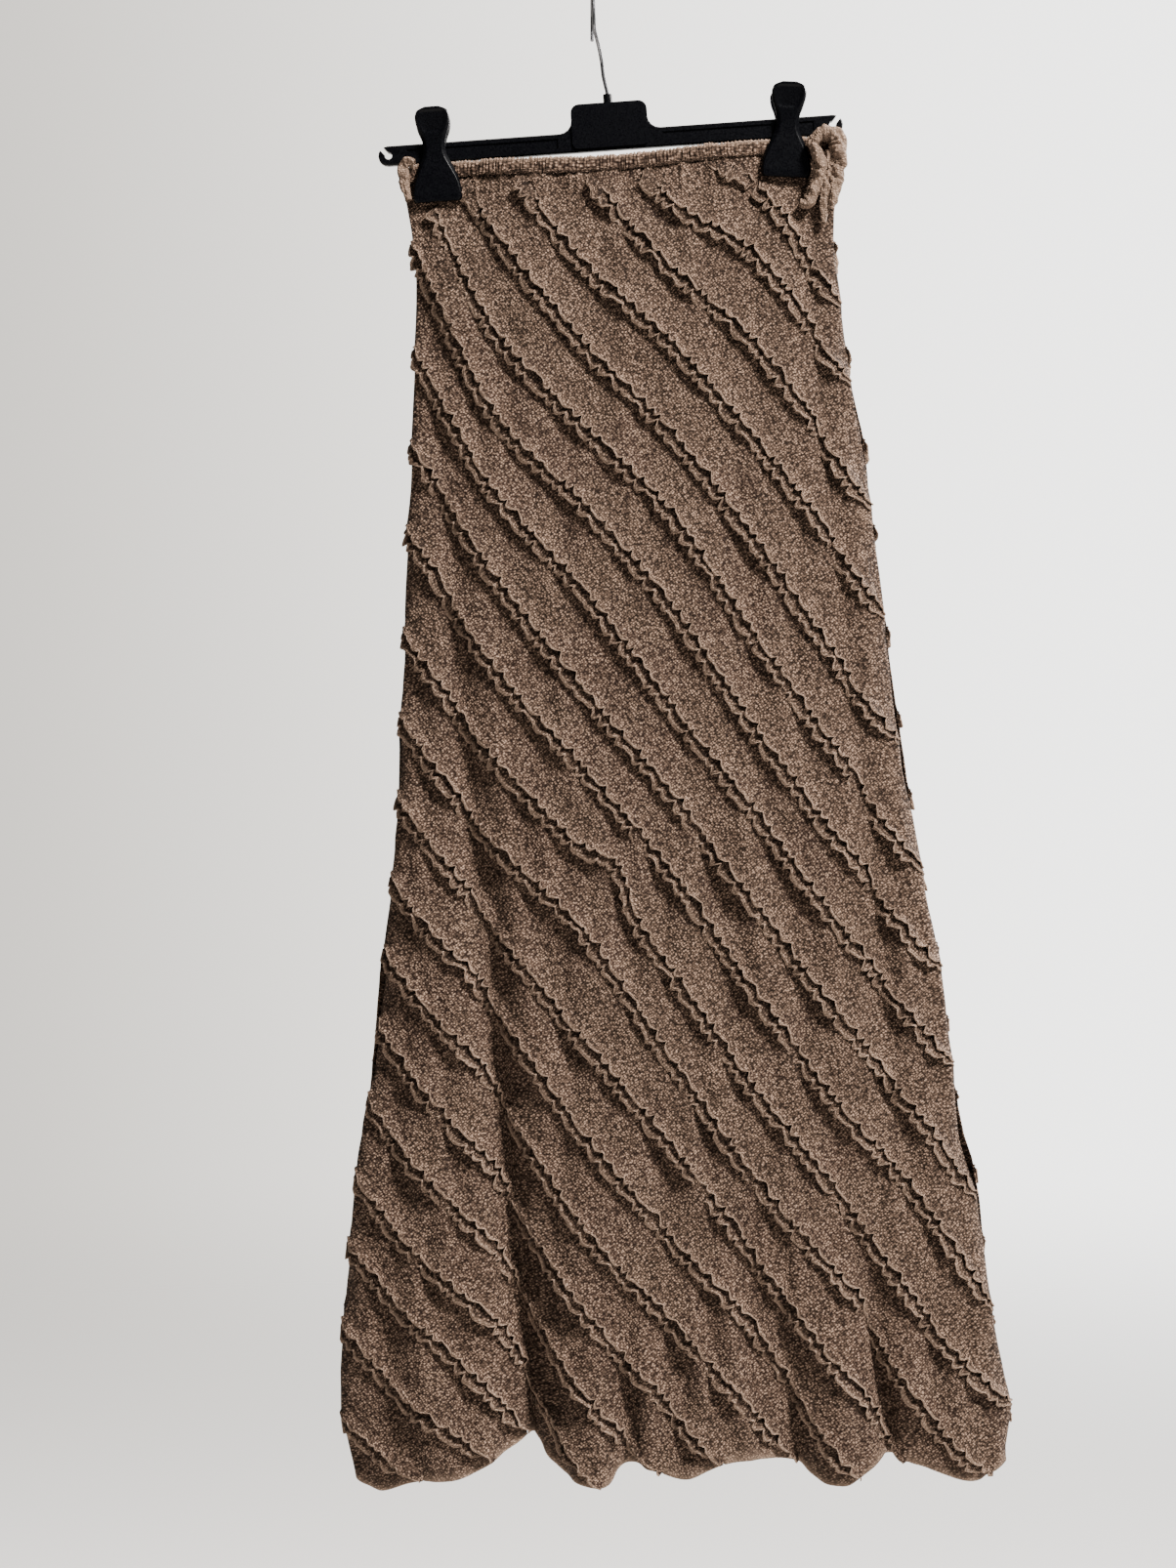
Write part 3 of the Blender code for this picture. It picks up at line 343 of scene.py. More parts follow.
def complete_crossings():
    """Every seam's drop at every line, from the nearest listed seam a pitch at a time."""
    listed = {(seam, first + place): drop for seam, (first, *drops) in enumerate(SEAM_CROSSINGS)
              for place, drop in enumerate(drops)}
    rows = [[] for _ in SEAM_CROSSINGS]
    for line in range(len(CROSSING_X)):
        known = [seam for seam in range(SEAM_COUNT) if (seam, line) in listed]
        for seam, row in enumerate(rows):
            nearest = min(known, key=lambda other: abs(other - seam))
            row.append(listed[nearest, line] + SEAM_PITCH * (seam - nearest))
    return rows


SEAM_CURVES = [smooth_curve(list(zip(CROSSING_X, row))) for row in complete_crossings()]
LEFT_EDGE, RIGHT_EDGE = smooth_curve(SECTIONS, 1), smooth_curve(SECTIONS, 2)
WAIST_CURVE, HEM_CURVE = smooth_curve(WAIST_LINE), smooth_curve(HEM_LINE)


def seam_drop(seam, x):
    """Drop of a seam of the front panel at x."""
    drop = SEAM_CURVES[seam - 1](x)
    if seam == STEP_SEAM:
        reach = np.where(x < STEP_X, *STEP_REACHES)
        drop = drop - STEP_RISE * np.exp(-((x - STEP_X) / reach) ** 2)
    return drop


# ---- uneven forms ----
def patches(seed, u, v, size_u, size_v):
    """Smooth uneven heights from -1 to 1 over cells of a size."""
    heights = np.random.default_rng(seed).uniform(-1, 1, LATTICE)
    x, y = u / size_u + LATTICE_START[0], v / size_v + LATTICE_START[1]
    i, j = np.floor(x).astype(int), np.floor(y).astype(int)
    fx, fy = smooth(x - i), smooth(y - j)
    i0, i1 = i % LATTICE[0], (i + 1) % LATTICE[0]
    j0, j1 = j % LATTICE[1], (j + 1) % LATTICE[1]
    low = heights[i0, j0] * (1 - fx) + heights[i1, j0] * fx
    high = heights[i0, j1] * (1 - fx) + heights[i1, j1] * fx
    return low * (1 - fy) + high * fy


def wander(seed, along, widths=(23.0, 37.0, 61.0, 97.0)):
    """An uneven slow wave along a line, about -1 to 1."""
    rng = np.random.default_rng(seed)
    total = 0.0
    for width in widths:
        total = total + rng.uniform(0.2, 0.5) * np.sin(2 * np.pi * along / width + rng.uniform(0, 6.3))
    return total


def lobes(seed, along):
    """Rounded lobes with sharp notches between them, uneven in length and height."""
    phase = np.pi * (along / LOBE_LENGTH + LOBE_DRIFT * wander(seed, along))
    height = LOBE_HEIGHTS[0] + LOBE_HEIGHTS[1] * wander(seed + 500, along, (19.0, 43.0, 71.0))
    pace = SMALL_LOBE_PACE[0] * phase + SMALL_LOBE_PACE[1] * wander(seed + 900, along)
    small = SMALL_LOBE * np.abs(np.sin(pace))
    return height * (np.abs(np.sin(phase)) ** LOBE_ROUNDNESS - LOBE_MEAN) + small - SMALL_LOBE_MEAN


# ---- the two panels' surfaces ----
class Panel:
    """Inner face of the front or the back of the skirt's solids, and what is laid out on it."""

    def __init__(self, word):
        self.word = word
        self.number = ("front", "back").index(word)
        self.sign = (-1.0, 1.0)[self.number]
        self.folds = (FRONT_FOLDS, BACK_FOLDS)[self.number]
        self.creases = (FRONT_CREASES, BACK_CREASES)[self.number]
        self.bulge = smooth_curve(SECTIONS, 3 + self.number)
        t = np.linspace(-1, 1, COLUMNS[word] + 1)
        self.s = COLUMN_EVENNESS * t + (1 - COLUMN_EVENNESS) * np.sin(np.pi / 2 * t)
        if word == "back":
            self.s = self.s[::-1]

    def edges(self, drop):
        return LEFT_EDGE(drop) + WALL, RIGHT_EDGE(drop) - WALL

    def x_at(self, s, drop):
        """s runs from -1 at the left edge to 1 at the right edge."""
        left, right = self.edges(drop)
        return (left + right) / 2 + s * (right - left) / 2

    def pressed(self, x, drop, reach, foot, width):
        """1 where a clip presses the cloth flat, 0 away from it."""
        amount = np.zeros_like(x)
        for clip_x, clip_drop, lean in CLIPS.values():
            middle = clip_x + math.sin(math.radians(lean)) * CLIP_LENGTH * PRESS_PLACE
            across = fade(np.abs(x - middle), reach, width)
            amount = np.maximum(amount, across * fade(drop, clip_drop + foot, width))
        return amount

    def trough(self, folds, growth, x, drop):
        """How deep the folds lie at a place."""
        total = np.zeros_like(x)
        for x0, drop0, x1, drop1, width0, width1, depth0, depth1 in folds:
            along = (drop - drop0) / (drop1 - drop0)
            t = np.clip(along, 0.0, 1 + FOLD_OVERRUN)
            centre = x0 + (x1 - x0) * t
            width = width0 + (width1 - width0) * t
            depth = depth0 + (depth1 - depth0) * t ** growth
            start = np.clip(along / FOLD_START + 1, 0.0, 1.0)
            end = fade(along, FOLD_FADE_PLACE, FOLD_FADE)
            total += depth * start * end * np.exp(-((x - centre) / width) ** 2)
        return total

    def point(self, s, drop):
        """Points of the inner face, as (x, y, z) in the last axis."""
        x = self.x_at(s, drop)
        squareness, roundness = BULGE_POWERS
        inside = np.clip(1 - np.abs(s), 0.0, 1.0)
        bulge = self.bulge(drop) * (1 - (1 - inside) ** squareness) ** roundness
        depth = self.trough(self.folds, FOLD_GROWTH, x, drop)
        depth += self.trough(self.creases, 1.0, x, drop)
        bulge -= depth * np.minimum(inside / FOLD_EDGE_ROOM, 1.0)
        flat = CLIP_FLATNESS * self.pressed(x, drop, CLIP_REACH, CLIP_FOOT, CLIP_FADE)
        bulge = np.maximum(bulge * (1 - flat), LEAST_BULGE * (1 - s * s))
        return np.stack([x, self.sign * (SIDE_GAP + bulge), -drop], axis=-1)

    def seam_at(self, seam, s):
        """Drop at which a seam crosses the columns s. The back's pattern is the front's turned round."""
        drop = np.full_like(s, SEAM_START)
        for _ in range(SEAM_ROUNDS):
            left, right = self.edges(drop)
            x = self.x_at(s, drop)
            found = seam_drop(seam, left + right - x if self.word == "back" else x)
            drop = (1 - SEAM_STRIDE) * drop + SEAM_STRIDE * found
        return drop

    def line_at(self, line, s):
        """Drop at which the waist or hem line crosses the columns s."""
        drop = line(np.zeros_like(s))
        for _ in range(LINE_ROUNDS):
            drop = line(self.x_at(s, drop))
        return drop


def unit(vectors):
    return vectors / np.maximum(np.linalg.norm(vectors, axis=-1, keepdims=True), 1e-9)


def lengths(points):
    """How far along its line of points each point is."""
    steps = np.diff(points, axis=-2, prepend=points[..., :1, :])
    return np.cumsum(np.linalg.norm(steps, axis=-1), axis=-1)


def grid_frame(grid, sign):
    """Unit vectors out of the cloth and across it, downward."""
    along = unit(np.gradient(grid, axis=1))
    down = np.gradient(grid, axis=0)
    out = unit(np.cross(along, down))
    if np.sum(out[..., 1]) * sign < 0:
        out = -out
    across = unit(np.cross(out, along))
    across *= np.where(np.sum(across * down, axis=-1, keepdims=True) < 0, -1.0, 1.0)
    return out, across


# ---- meshes ----
def link(name, data):
    made = bpy.data.objects.new(name, data)
    bpy.context.scene.collection.objects.link(made)
    return made


def add_quads(name, points, quads, surface, uv=None, edge=None):
    """A smooth mesh of quads, given in millimetres."""
    mesh = bpy.data.meshes.new(name)
    mesh.vertices.add(len(points))
    mesh.vertices.foreach_set("co", (np.asarray(points, float) * MM).ravel())
    mesh.loops.add(quads.size)
    mesh.loops.foreach_set("vertex_index", quads.astype(np.int32).ravel())
    mesh.polygons.add(len(quads))
    mesh.polygons.foreach_set("loop_start", np.arange(0, quads.size, 4, dtype=np.int32))
    mesh.polygons.foreach_set("use_smooth", np.ones(len(quads), bool))
    if uv is not None:
        layer = mesh.uv_layers.new(name="cloth")
        layer.data.foreach_set("uv", (uv[quads.ravel()] * MM).ravel())
    # The edge attribute holds painted highlight (above 0) and painted shade (below 0) for the cloth's
    # colour.
    if edge is not None:
        tint = mesh.attributes.new("edge", "FLOAT", "POINT")
        tint.data.foreach_set("value", np.asarray(edge, np.float32))
    mesh.update(calc_edges=True)
    mesh.validate()
    mesh.materials.append(surface)
    return link(name, mesh)


def volume(points, quads):
    """More than 0 where the quads of a closed mesh face outward."""
    a, b, c, d = (points[quads[:, corner]] for corner in range(4))
    return np.einsum("ij,ij->i", a, np.cross(b, c) + np.cross(c, d)).sum()


def shell(name, grid, out, thickness, keep, surface, uv, edge):
    """A closed thin shell with the grid in its middle, where keep marks the cells that exist."""
    rows, columns = grid.shape[:2]
    half = thickness[..., None] / 2
    points = np.concatenate([(grid + half * out).reshape(-1, 3), (grid - half * out).reshape(-1, 3)])
    shift = rows * columns
    index = np.arange(shift).reshape(rows, columns)
    a, b, c, d = index[:-1, :-1], index[:-1, 1:], index[1:, 1:], index[1:, :-1]
    outer = np.stack([a, b, c, d], axis=-1)[keep]
    inner = np.stack([a, d, c, b], axis=-1)[keep] + shift
    padded = np.pad(keep, 1)
    rims = []
    for row_step, column_step, first, second in ((-1, 0, a, b), (0, 1, b, c), (1, 0, c, d), (0, -1, d, a)):
        beside = padded[1 + row_step:padded.shape[0] - 1 + row_step,
                        1 + column_step:padded.shape[1] - 1 + column_step]
        bare = keep & ~beside
        first, second = first[bare], second[bare]
        rims.append(np.stack([second, first, first + shift, second + shift], axis=-1))
    quads = np.concatenate([outer, inner] + rims)
    used, quads = np.unique(quads, return_inverse=True)
    quads = quads.reshape(-1, 4)
    uv = np.concatenate([uv.reshape(-1, 2)] * 2)[used]
    edge = np.concatenate([edge.ravel()] * 2)[used]
    points = points[used]
    if volume(points, quads) < 0:
        quads = quads[:, ::-1]
    return add_quads(name, points, quads, surface, uv, edge)


# ---- strips ----
def frill_scale(panel, drop, top, hem, room):
    """How much of its full height a frill has: less at the edges and under a clip."""
    x = panel.x_at(panel.s, drop)
    left, right = panel.edges(drop)
    way = np.minimum(x - left, right - x)
    side = SIDE_FRILL + (1 - SIDE_FRILL) * np.clip(way / SIDE_ROOM, 0.0, 1.0)
    at_top = np.clip((drop - top) / WAIST_FRILL_ROOM, 0.0, 1.0)
    at_hem = HEM_FRILL + (1 - HEM_FRILL) * np.clip((hem - drop) / HEM_FRILL_ROOM, 0.0, 1.0)
    free = 1 - panel.pressed(x, drop, FRILL_REACH, FRILL_FOOT, FRILL_FADE)
    return np.clip(side * at_top * at_hem * free, 0.0, 1.0) * np.clip(room, 0.0, 1.0)


def frill_rows(root, out, across, allowance, scale, wave):
    """Rows of an allowance from its root to its edge, and the ways out of them."""
    length, start, end = allowance[0], *np.radians(allowance[1:])
    rows, outs = [], []
    place, last = np.zeros((len(root), 2)), 0.0
    for row in range(1, FRILL_ROWS + 1):
        t = row / FRILL_ROWS
        angle = start + (end - start) * t ** CURL_POWER + LOBE_TURN * wave * t
        step = ((t - last) * length * (1 + LOBE_STRETCH * wave))[:, None]
        place = place + step * np.stack([np.sin(angle), np.cos(angle)], axis=-1)
        last = t
        sway = LOBE_REACH * wave * t ** LOBE_POWER
        offset = (place + np.stack([sway, -LOBE_DIP * sway], axis=-1)) * scale[:, None]
        rows.append(root + offset[:, :1] * across + offset[:, 1:] * out)
        side = np.stack([-np.cos(angle), np.sin(angle)], axis=-1)
        outs.append(unit(side[:, :1] * across + side[:, 1:] * out))
    return np.array(rows), np.array(outs)


def cloth_relief(panel, seed, u, v, x, drops, tops, hems):
    """How far a strip's crinkle, waves, gathers and ripples lift its cloth."""
    grown = 1 - fade(drops, WRINKLE_DROPS[0], WRINKLE_DROPS[1] - WRINKLE_DROPS[0])
    crinkle = CRINKLE[0] * patches(seed + 3, u, v, *CRINKLE[1:])
    crumple = CRUMPLE[0] * patches(seed + 4, u, v, *CRUMPLE[1:])
    wrinkle = WRINKLE[0] * grown * patches(seed + 5, u - WRINKLE_SLANT * v, v, *WRINKLE[1:])
    calm = np.clip(np.minimum(v, v[-1] - v) / CALM_REACH, CALM_LEAST, 1.0)
    drape = DRAPE[0] * (DRAPE_GROWTH[0] + DRAPE_GROWTH[1] * grown)
    drape = drape * patches(DRAPE_SEED + panel.number, x - DRAPE_SLANT * drops, drops, *DRAPE[1:])
    gather = GATHER_HEIGHT * np.exp(-(drops - tops) / GATHER_REACH)
    gather = gather * patches(GATHER_SEED + panel.number, x, drops, *GATHER_SIZE)
    ripple = HEM_RIPPLE * wander(RIPPLE_SEED, u, HEM_RIPPLE_WIDTHS)
    ripple = ripple * np.exp(-(hems - drops) / HEM_RIPPLE_REACH)
    return calm * (crinkle + crumple + wrinkle) + drape + gather + ripple


def build_strip(panel, k, upper, lower, tops, hems, surface):
    """One strip: its wall, the allowance that leans from its upper seam and the one that stands below.

    It returns the piece, its cut's length, width and area.
    """
    height = lower - upper
    alive = height > LEAST_HEIGHT
    spread = np.linspace(0, 1, WALL_ROWS)
    spread = ROW_EVENNESS * spread + (1 - ROW_EVENNESS) * (0.5 - 0.5 * np.cos(np.pi * spread))
    gap = np.minimum(SEAM_GAP, GAP_SHARE * np.abs(height))
    drops = (upper + gap) + spread[:, None] * np.maximum(height - 2 * gap, LEAST_WALL)
    grid = panel.point(np.broadcast_to(panel.s, drops.shape), drops)
    x = grid[..., 0]
    out, across = grid_frame(grid, panel.sign)
    u = lengths(grid)
    v = np.cumsum(np.sum(np.diff(grid, axis=0, prepend=grid[:1]) * across, axis=-1), axis=0)
    width = v[-1]
    seed = STRIP_SEEDS * k + PANEL_SEEDS * panel.number

    has_upper = (upper > tops + SEAM_END) & (k > 0)
    has_lower = (lower < hems - SEAM_END) & (k < SEAM_COUNT)
    room = (width - FRILL_STRIPS[0]) / (FRILL_STRIPS[1] - FRILL_STRIPS[0])
    scale_up = frill_scale(panel, upper, tops, hems, room) * has_upper
    scale_low = frill_scale(panel, lower, tops, hems, room) * has_lower
    wave_up, wave_low = lobes(seed + 1, u[0]), lobes(seed + 2, u[-1])
    raised = SEAM_RAISE * (scale_up * np.exp(-(v / RAISE_BELOW) ** 2)
                           + scale_low * np.exp(-(width - v) / RAISE_ABOVE))
    pucker = PUCKER * (wave_up * scale_up * np.exp(-v / PUCKER_REACH)
                       + wave_low * scale_low * np.exp(-(width - v) / PUCKER_REACH))
    free = 1 - panel.pressed(x, drops, CLIP_REACH, CLIP_FOOT, FINE_FADE)
    relief = pucker + cloth_relief(panel, seed, u, v, x, drops, tops, hems)
    grid = grid + (WALL / 2 + raised + free * relief)[..., None] * out

    lean_rows, lean_outs = frill_rows(grid[0], out[0], across[0], LEANING, scale_up, wave_up)
    stand_rows, stand_outs = frill_rows(grid[-1], out[-1], across[-1], STANDING, scale_low, wave_low)
    rows = np.concatenate([lean_rows[::-1], grid, stand_rows])
    outs = np.concatenate([lean_outs[::-1], out, stand_outs])
    root_up, root_low = FRILL_ROWS, FRILL_ROWS + WALL_ROWS - 1
    outs[root_up] = unit(outs[root_up - 1] + out[0])
    outs[root_low] = unit(outs[root_low + 1] + out[-1])
    thickness = np.full(rows.shape[:2], THICKNESS)
    thickness[0] = thickness[-1] = EDGE_THICKNESS
    thickness = np.minimum(thickness, NARROW_THICKNESS[0] + NARROW_THICKNESS[1] * np.abs(height))
    # edge paints light and shade into the cloth's colour: a painted highlight on the allowances' edges and
    # along the hem, and painted shade (below 0) on the leaning allowance deep in the groove between two
    # frills.
    edge = np.zeros(rows.shape[:2])
    edge[0] = edge[-1] = EDGE_HIGHLIGHT_SHARE
    edge[1:root_up + 1] = -np.minimum(scale_up, np.linspace(GROOVE_START, 1.0, FRILL_ROWS)[:, None])
    hem_highlight = HEM_HIGHLIGHT * np.exp(-(hems - drops) / HEM_HIGHLIGHT_REACH) * (lower > hems - 1)
    edge[root_up:root_low + 1] = np.maximum(edge[root_up:root_low + 1], hem_highlight)
    cells = alive[:-1] & alive[1:]
    keep = np.zeros((len(rows) - 1, len(cells)), bool)
    keep[root_up:root_low] = cells
    frilled_up, frilled_low = scale_up > LEAST_FRILL, scale_low > LEAST_FRILL
    keep[:root_up] = cells & frilled_up[:-1] & frilled_up[1:]
    keep[root_low:] = cells & frilled_low[:-1] & frilled_low[1:]

    sideways = panel.sign * -x
    cos, sin = math.cos(math.radians(GRAIN_ANGLE)), math.sin(math.radians(GRAIN_ANGLE))
    lengthwise = sideways * cos + drops * sin
    crosswise = drops * cos - sideways * sin
    beyond = np.linspace(1, 0, FRILL_ROWS, endpoint=False)[:, None]
    lengthwise = np.pad(lengthwise, ((FRILL_ROWS, FRILL_ROWS), (0, 0)), mode="edge")
    crosswise = np.concatenate([crosswise[:1] - LEANING[0] * beyond, crosswise,
                                crosswise[-1:] + STANDING[0] * beyond[::-1]])
    uv = np.stack([lengthwise, crosswise], axis=-1) + k * np.array(GRAIN_SHIFT)
    piece = shell(f"cloth_{panel.word}_{k + 1:02d}", rows, outs, thickness, keep, surface, uv, edge)

    columns = np.flatnonzero(alive)
    middle = u[WALL_ROWS // 2][columns]
    step = np.diff(middle, prepend=middle[0])
    cut = (width + LEANING[0] * frilled_up + STANDING[0] * frilled_low)[columns]
    return piece, float(np.sum(step)) * MM, float(np.max(cut)) * MM, float(np.sum(cut * step)) * MM * MM


def build_strips(panel, surface):
    """The strips of one panel, each standing for its solid."""
    word = panel.word
    tops = panel.line_at(WAIST_CURVE, panel.s) + CASING_HEIGHT + CASING_GAP
    hems = panel.line_at(HEM_CURVE, panel.s)
    seams = [np.clip(panel.seam_at(k, panel.s), tops, hems) for k in range(1, SEAM_COUNT + 1)]
    for k, (upper, lower) in enumerate(zip([tops] + seams, seams + [hems])):
        piece, length, width, area = build_strip(panel, k, upper, lower, tops, hems, surface)
        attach(piece, "root")
        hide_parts(f"{word}_strip_{k + 1:02d}")


# ---- casing and rolled end ----
def wrapped(name, rings, outs, surface, u, v, edge):
    """A thin shell through open rings of points, shaped (round, along, 3)."""
    shape = rings.shape[:2]
    u, v, edge, thickness = (np.broadcast_to(value, shape) for value in (u, v, edge, WRAP_THICKNESS))
    keep = np.ones((shape[0] - 1, shape[1] - 1), bool)
    return shell(name, rings, outs, thickness, keep, surface, np.stack([u, v], axis=-1), edge)


def build_casing(panel, surface):
    """The ruched elastic casing of one panel: a tube of cloth, joined low on its inner side."""
    word = panel.word
    s = np.linspace(-1, 1, CASING_COLUMNS[word] + 1)
    top = panel.line_at(WAIST_CURVE, s)
    drops = top + np.linspace(0, CASING_HEIGHT, 5)[:, None]
    grid = panel.point(np.broadcast_to(s, drops.shape), drops)
    out, across = (vectors[2] for vectors in grid_frame(grid, panel.sign))
    u = lengths(grid[0])
    angle = np.linspace(CASING_OPENING, 2 * np.pi - CASING_OPENING, CASING_SIDES)[:, None]
    angle = math.radians(CASING_JOIN) + angle
    square = 2 / CASING_SQUARENESS
    deep = np.sign(np.cos(angle)) * np.abs(np.cos(angle)) ** square
    high = np.sign(np.sin(angle)) * np.abs(np.sin(angle)) ** square
    around = angle * CASING_HEIGHT / 2
    height, width, run = CASING_GATHER
    seed = CASING_SEED + CASING_SEEDS * panel.number
    slant = u + 0.12 * around + 1.6 * wander(seed + 5, u, (9.0, 15.0, 31.0))
    phase = np.pi * (slant / (2 * width) + 0.55 * patches(seed, u, around, 4.0, run))
    ridges = 1.6 * np.abs(np.sin(phase)) ** 0.6 - 1.1 + 0.5 * patches(seed + 1, slant, around, width, 4.0)
    bunch = patches(seed + 2, u, around, *CASING_BUNCH[1:])
    swell = height * ridges + CASING_BUNCH[0] * bunch
    half_thick, half_high = CASING_THICKNESS / 2 - CASING_ROOM[0], CASING_HEIGHT / 2 - CASING_ROOM[1]
    place_out = CASING_THICKNESS / 2 + deep * half_thick + np.clip(deep, 0, 1) ** 3 * swell
    ragged = np.where(high < 0, -CASING_RAGGED[0], CASING_RAGGED[1]) * np.abs(high) ** 3
    ragged = ragged * (0.5 + 0.9 * ridges + 0.5 * bunch)
    place_down = CASING_HEIGHT / 2 + high * half_high + ragged
    rings = grid[0] + place_out[..., None] * out + place_down[..., None] * across
    outs = unit(deep[..., None] / half_thick * out + high[..., None] / half_high * across)
    # Painted highlight along the casing's upper edge.
    painted_shading = CASING_TOP_HIGHLIGHT * np.clip(-high, 0, 1) ** 4
    piece = wrapped(f"casing_{word}", rings, outs, surface, around, CASING_GRAIN * u, painted_shading)
    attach(piece, "root")
    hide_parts(f"waistband_{word}")


def smooth_route(route):
    """Points along a smooth curve through the route's, in every value they hold."""
    points = np.array([route[0], *route, route[-1]], float)
    spans = []
    for p0, p1, p2, p3 in zip(points, points[1:], points[2:], points[3:]):
        t = (np.arange(ROLL_STEPS) / ROLL_STEPS)[:, None]
        spans.append(0.5 * (2 * p1 + (p2 - p0) * t + (2 * p0 - 5 * p1 + 4 * p2 - p3) * t ** 2
                            + (3 * p1 - p0 - 3 * p2 + p3) * t ** 3))
    return np.concatenate(spans + [points[-1:]])


def carried_frames(centre, start):
    """Two unit vectors across a route, carried along it without turning."""
    along = unit(np.gradient(centre, axis=0))
    first = np.array(start, float)
    firsts, seconds = [], []
    for way in along:
        first = unit(first - way * np.dot(first, way))
        firsts.append(first)
        seconds.append(np.cross(way, first))
    return np.array(firsts), np.array(seconds)


def build_roll(name, route, seed, surface):
    """Cloth bunched into a roll along a route, with creases along it."""
    route = smooth_route([(x, -forward, -drop, radius) for x, forward, drop, radius in route])
    centre, radius = route[:, :3], route[:, 3]
    first, second = carried_frames(centre, ROLL_START)
    length = lengths(centre)
    angle = np.linspace(0, 2 * np.pi - ROLL_OPENING, ROLL_SIDES)[:, None]
    turned = angle + 0.5 * wander(seed, length, (13.0, 29.0, 47.0))
    around = angle * ROLL_GIRTH
    creases = ROLL_FOLD * (np.sin(3 * turned) + np.abs(np.sin(4.5 * turned + 0.04 * length)))
    creases = creases + ROLL_CRUMPLE * patches(seed + 1, length, around, *ROLL_CRUMPLE_SIZE)
    slant = length + 0.4 * around
    creases = creases + ROLL_CRINKLE * patches(seed + 2, slant, around, *ROLL_CRINKLE_SIZE)
    side = np.cos(angle)[..., None] * first + np.sin(angle)[..., None] * second
    rings = centre + (radius * (ROLL_BODY + creases))[..., None] * side
    piece = wrapped(name, rings, side, surface, length, around, ROLL_HIGHLIGHT)
    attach(piece, "root")
    return piece


# ---- clips ----
def loft(name, rings, surface):
    """A closed body through closed rings of points, its ends filled in strips."""
    count, sides = rings.shape[:2]
    index = np.arange(count * sides).reshape(count, sides)
    turned = np.roll(index, -1, axis=1)
    quads = [np.stack([index[:-1], turned[:-1], turned[1:], index[1:]], axis=-1).reshape(-1, 4)]
    i = np.arange(sides // 2 - 1)
    for ring, ways in ((index[0], (i, sides - 1 - i, sides - 2 - i, i + 1)),
                       (index[-1], (i, i + 1, sides - 2 - i, sides - 1 - i))):
        quads.append(np.stack([ring[way] for way in ways], axis=-1))
    quads = np.concatenate(quads)
    points = rings.reshape(-1, 3)
    if volume(points - points.mean(axis=0), quads) < 0:
        quads = quads[:, ::-1]
    return add_quads(name, points, quads, surface)


def jaw_ring(half, inner, thick, slant, dish):
    """One section of a jaw as (across, out), from its inner face round by its right side."""
    face, front = half - slant, inner + thick
    inside = [(x, inner) for x in np.linspace(-half + 0.4, half - 0.4, JAW_INNER_COUNT)]
    side = [
        (half, inner + 0.35),
        (half, inner + 0.9),
        (half - 0.25 * slant, inner + 0.9 + 0.3 * (thick - 1.3)),
        (half - 0.92 * slant, front - 0.32),
        (face - 0.15, front - 0.08),
    ]
    outside = [(x, front - dish * max(0.0, 1 - abs(x / (face * JAW_DISH_WIDTH)) ** 6) ** 0.7)
               for x in (face - 0.6) * np.linspace(1, -1, JAW_OUTER_COUNT)]
    return inside + side + outside + [(-x, y) for x, y in reversed(side)]


def build_jaw(name, sign, place, surface):
    """One jaw: a plate with slanted sides, a dished handle with a rim, and a lip below."""
    (top, first, above), (foot, last, below) = JAW_TOP, JAW_FOOT
    down = np.concatenate([top * (1 - np.cos(np.linspace(first, np.pi / 2, above))), np.linspace(*JAW_ROWS),
                           CLIP_LENGTH - foot * (1 - np.sin(np.linspace(last, np.pi / 2, below)))])
    columns = [smooth_curve(JAW_SECTIONS, column)(down) for column in range(1, 5)]
    dish = JAW_DISH * fade(np.abs(down - JAW_DISH_PLACE), JAW_DISH_REACH, JAW_DISH_RIM)
    rings = []
    for drop, half, inner, thick, slant, low in zip(down, *columns, dish):
        ring = jaw_ring(half, inner, thick, slant, low)
        rings.append([(across, sign * outward, -drop) for across, outward in ring])
    made = loft(name, np.array(rings), surface)
    made.matrix_world = place
    return made


def build_clips(surface):
    for side, (x, drop, lean) in CLIPS.items():
        place = Matrix.Translation((x * MM, 0, -drop * MM)) @ Matrix.Rotation(math.radians(-lean), 4, "Y")
        for word, sign in (("front", -1), ("back", 1)):
            jaw = build_jaw(f"jaw_{side}_{word}", sign, place, surface)
            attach(jaw, "root")
            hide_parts(f"clip_{side}_{word}_jaw")


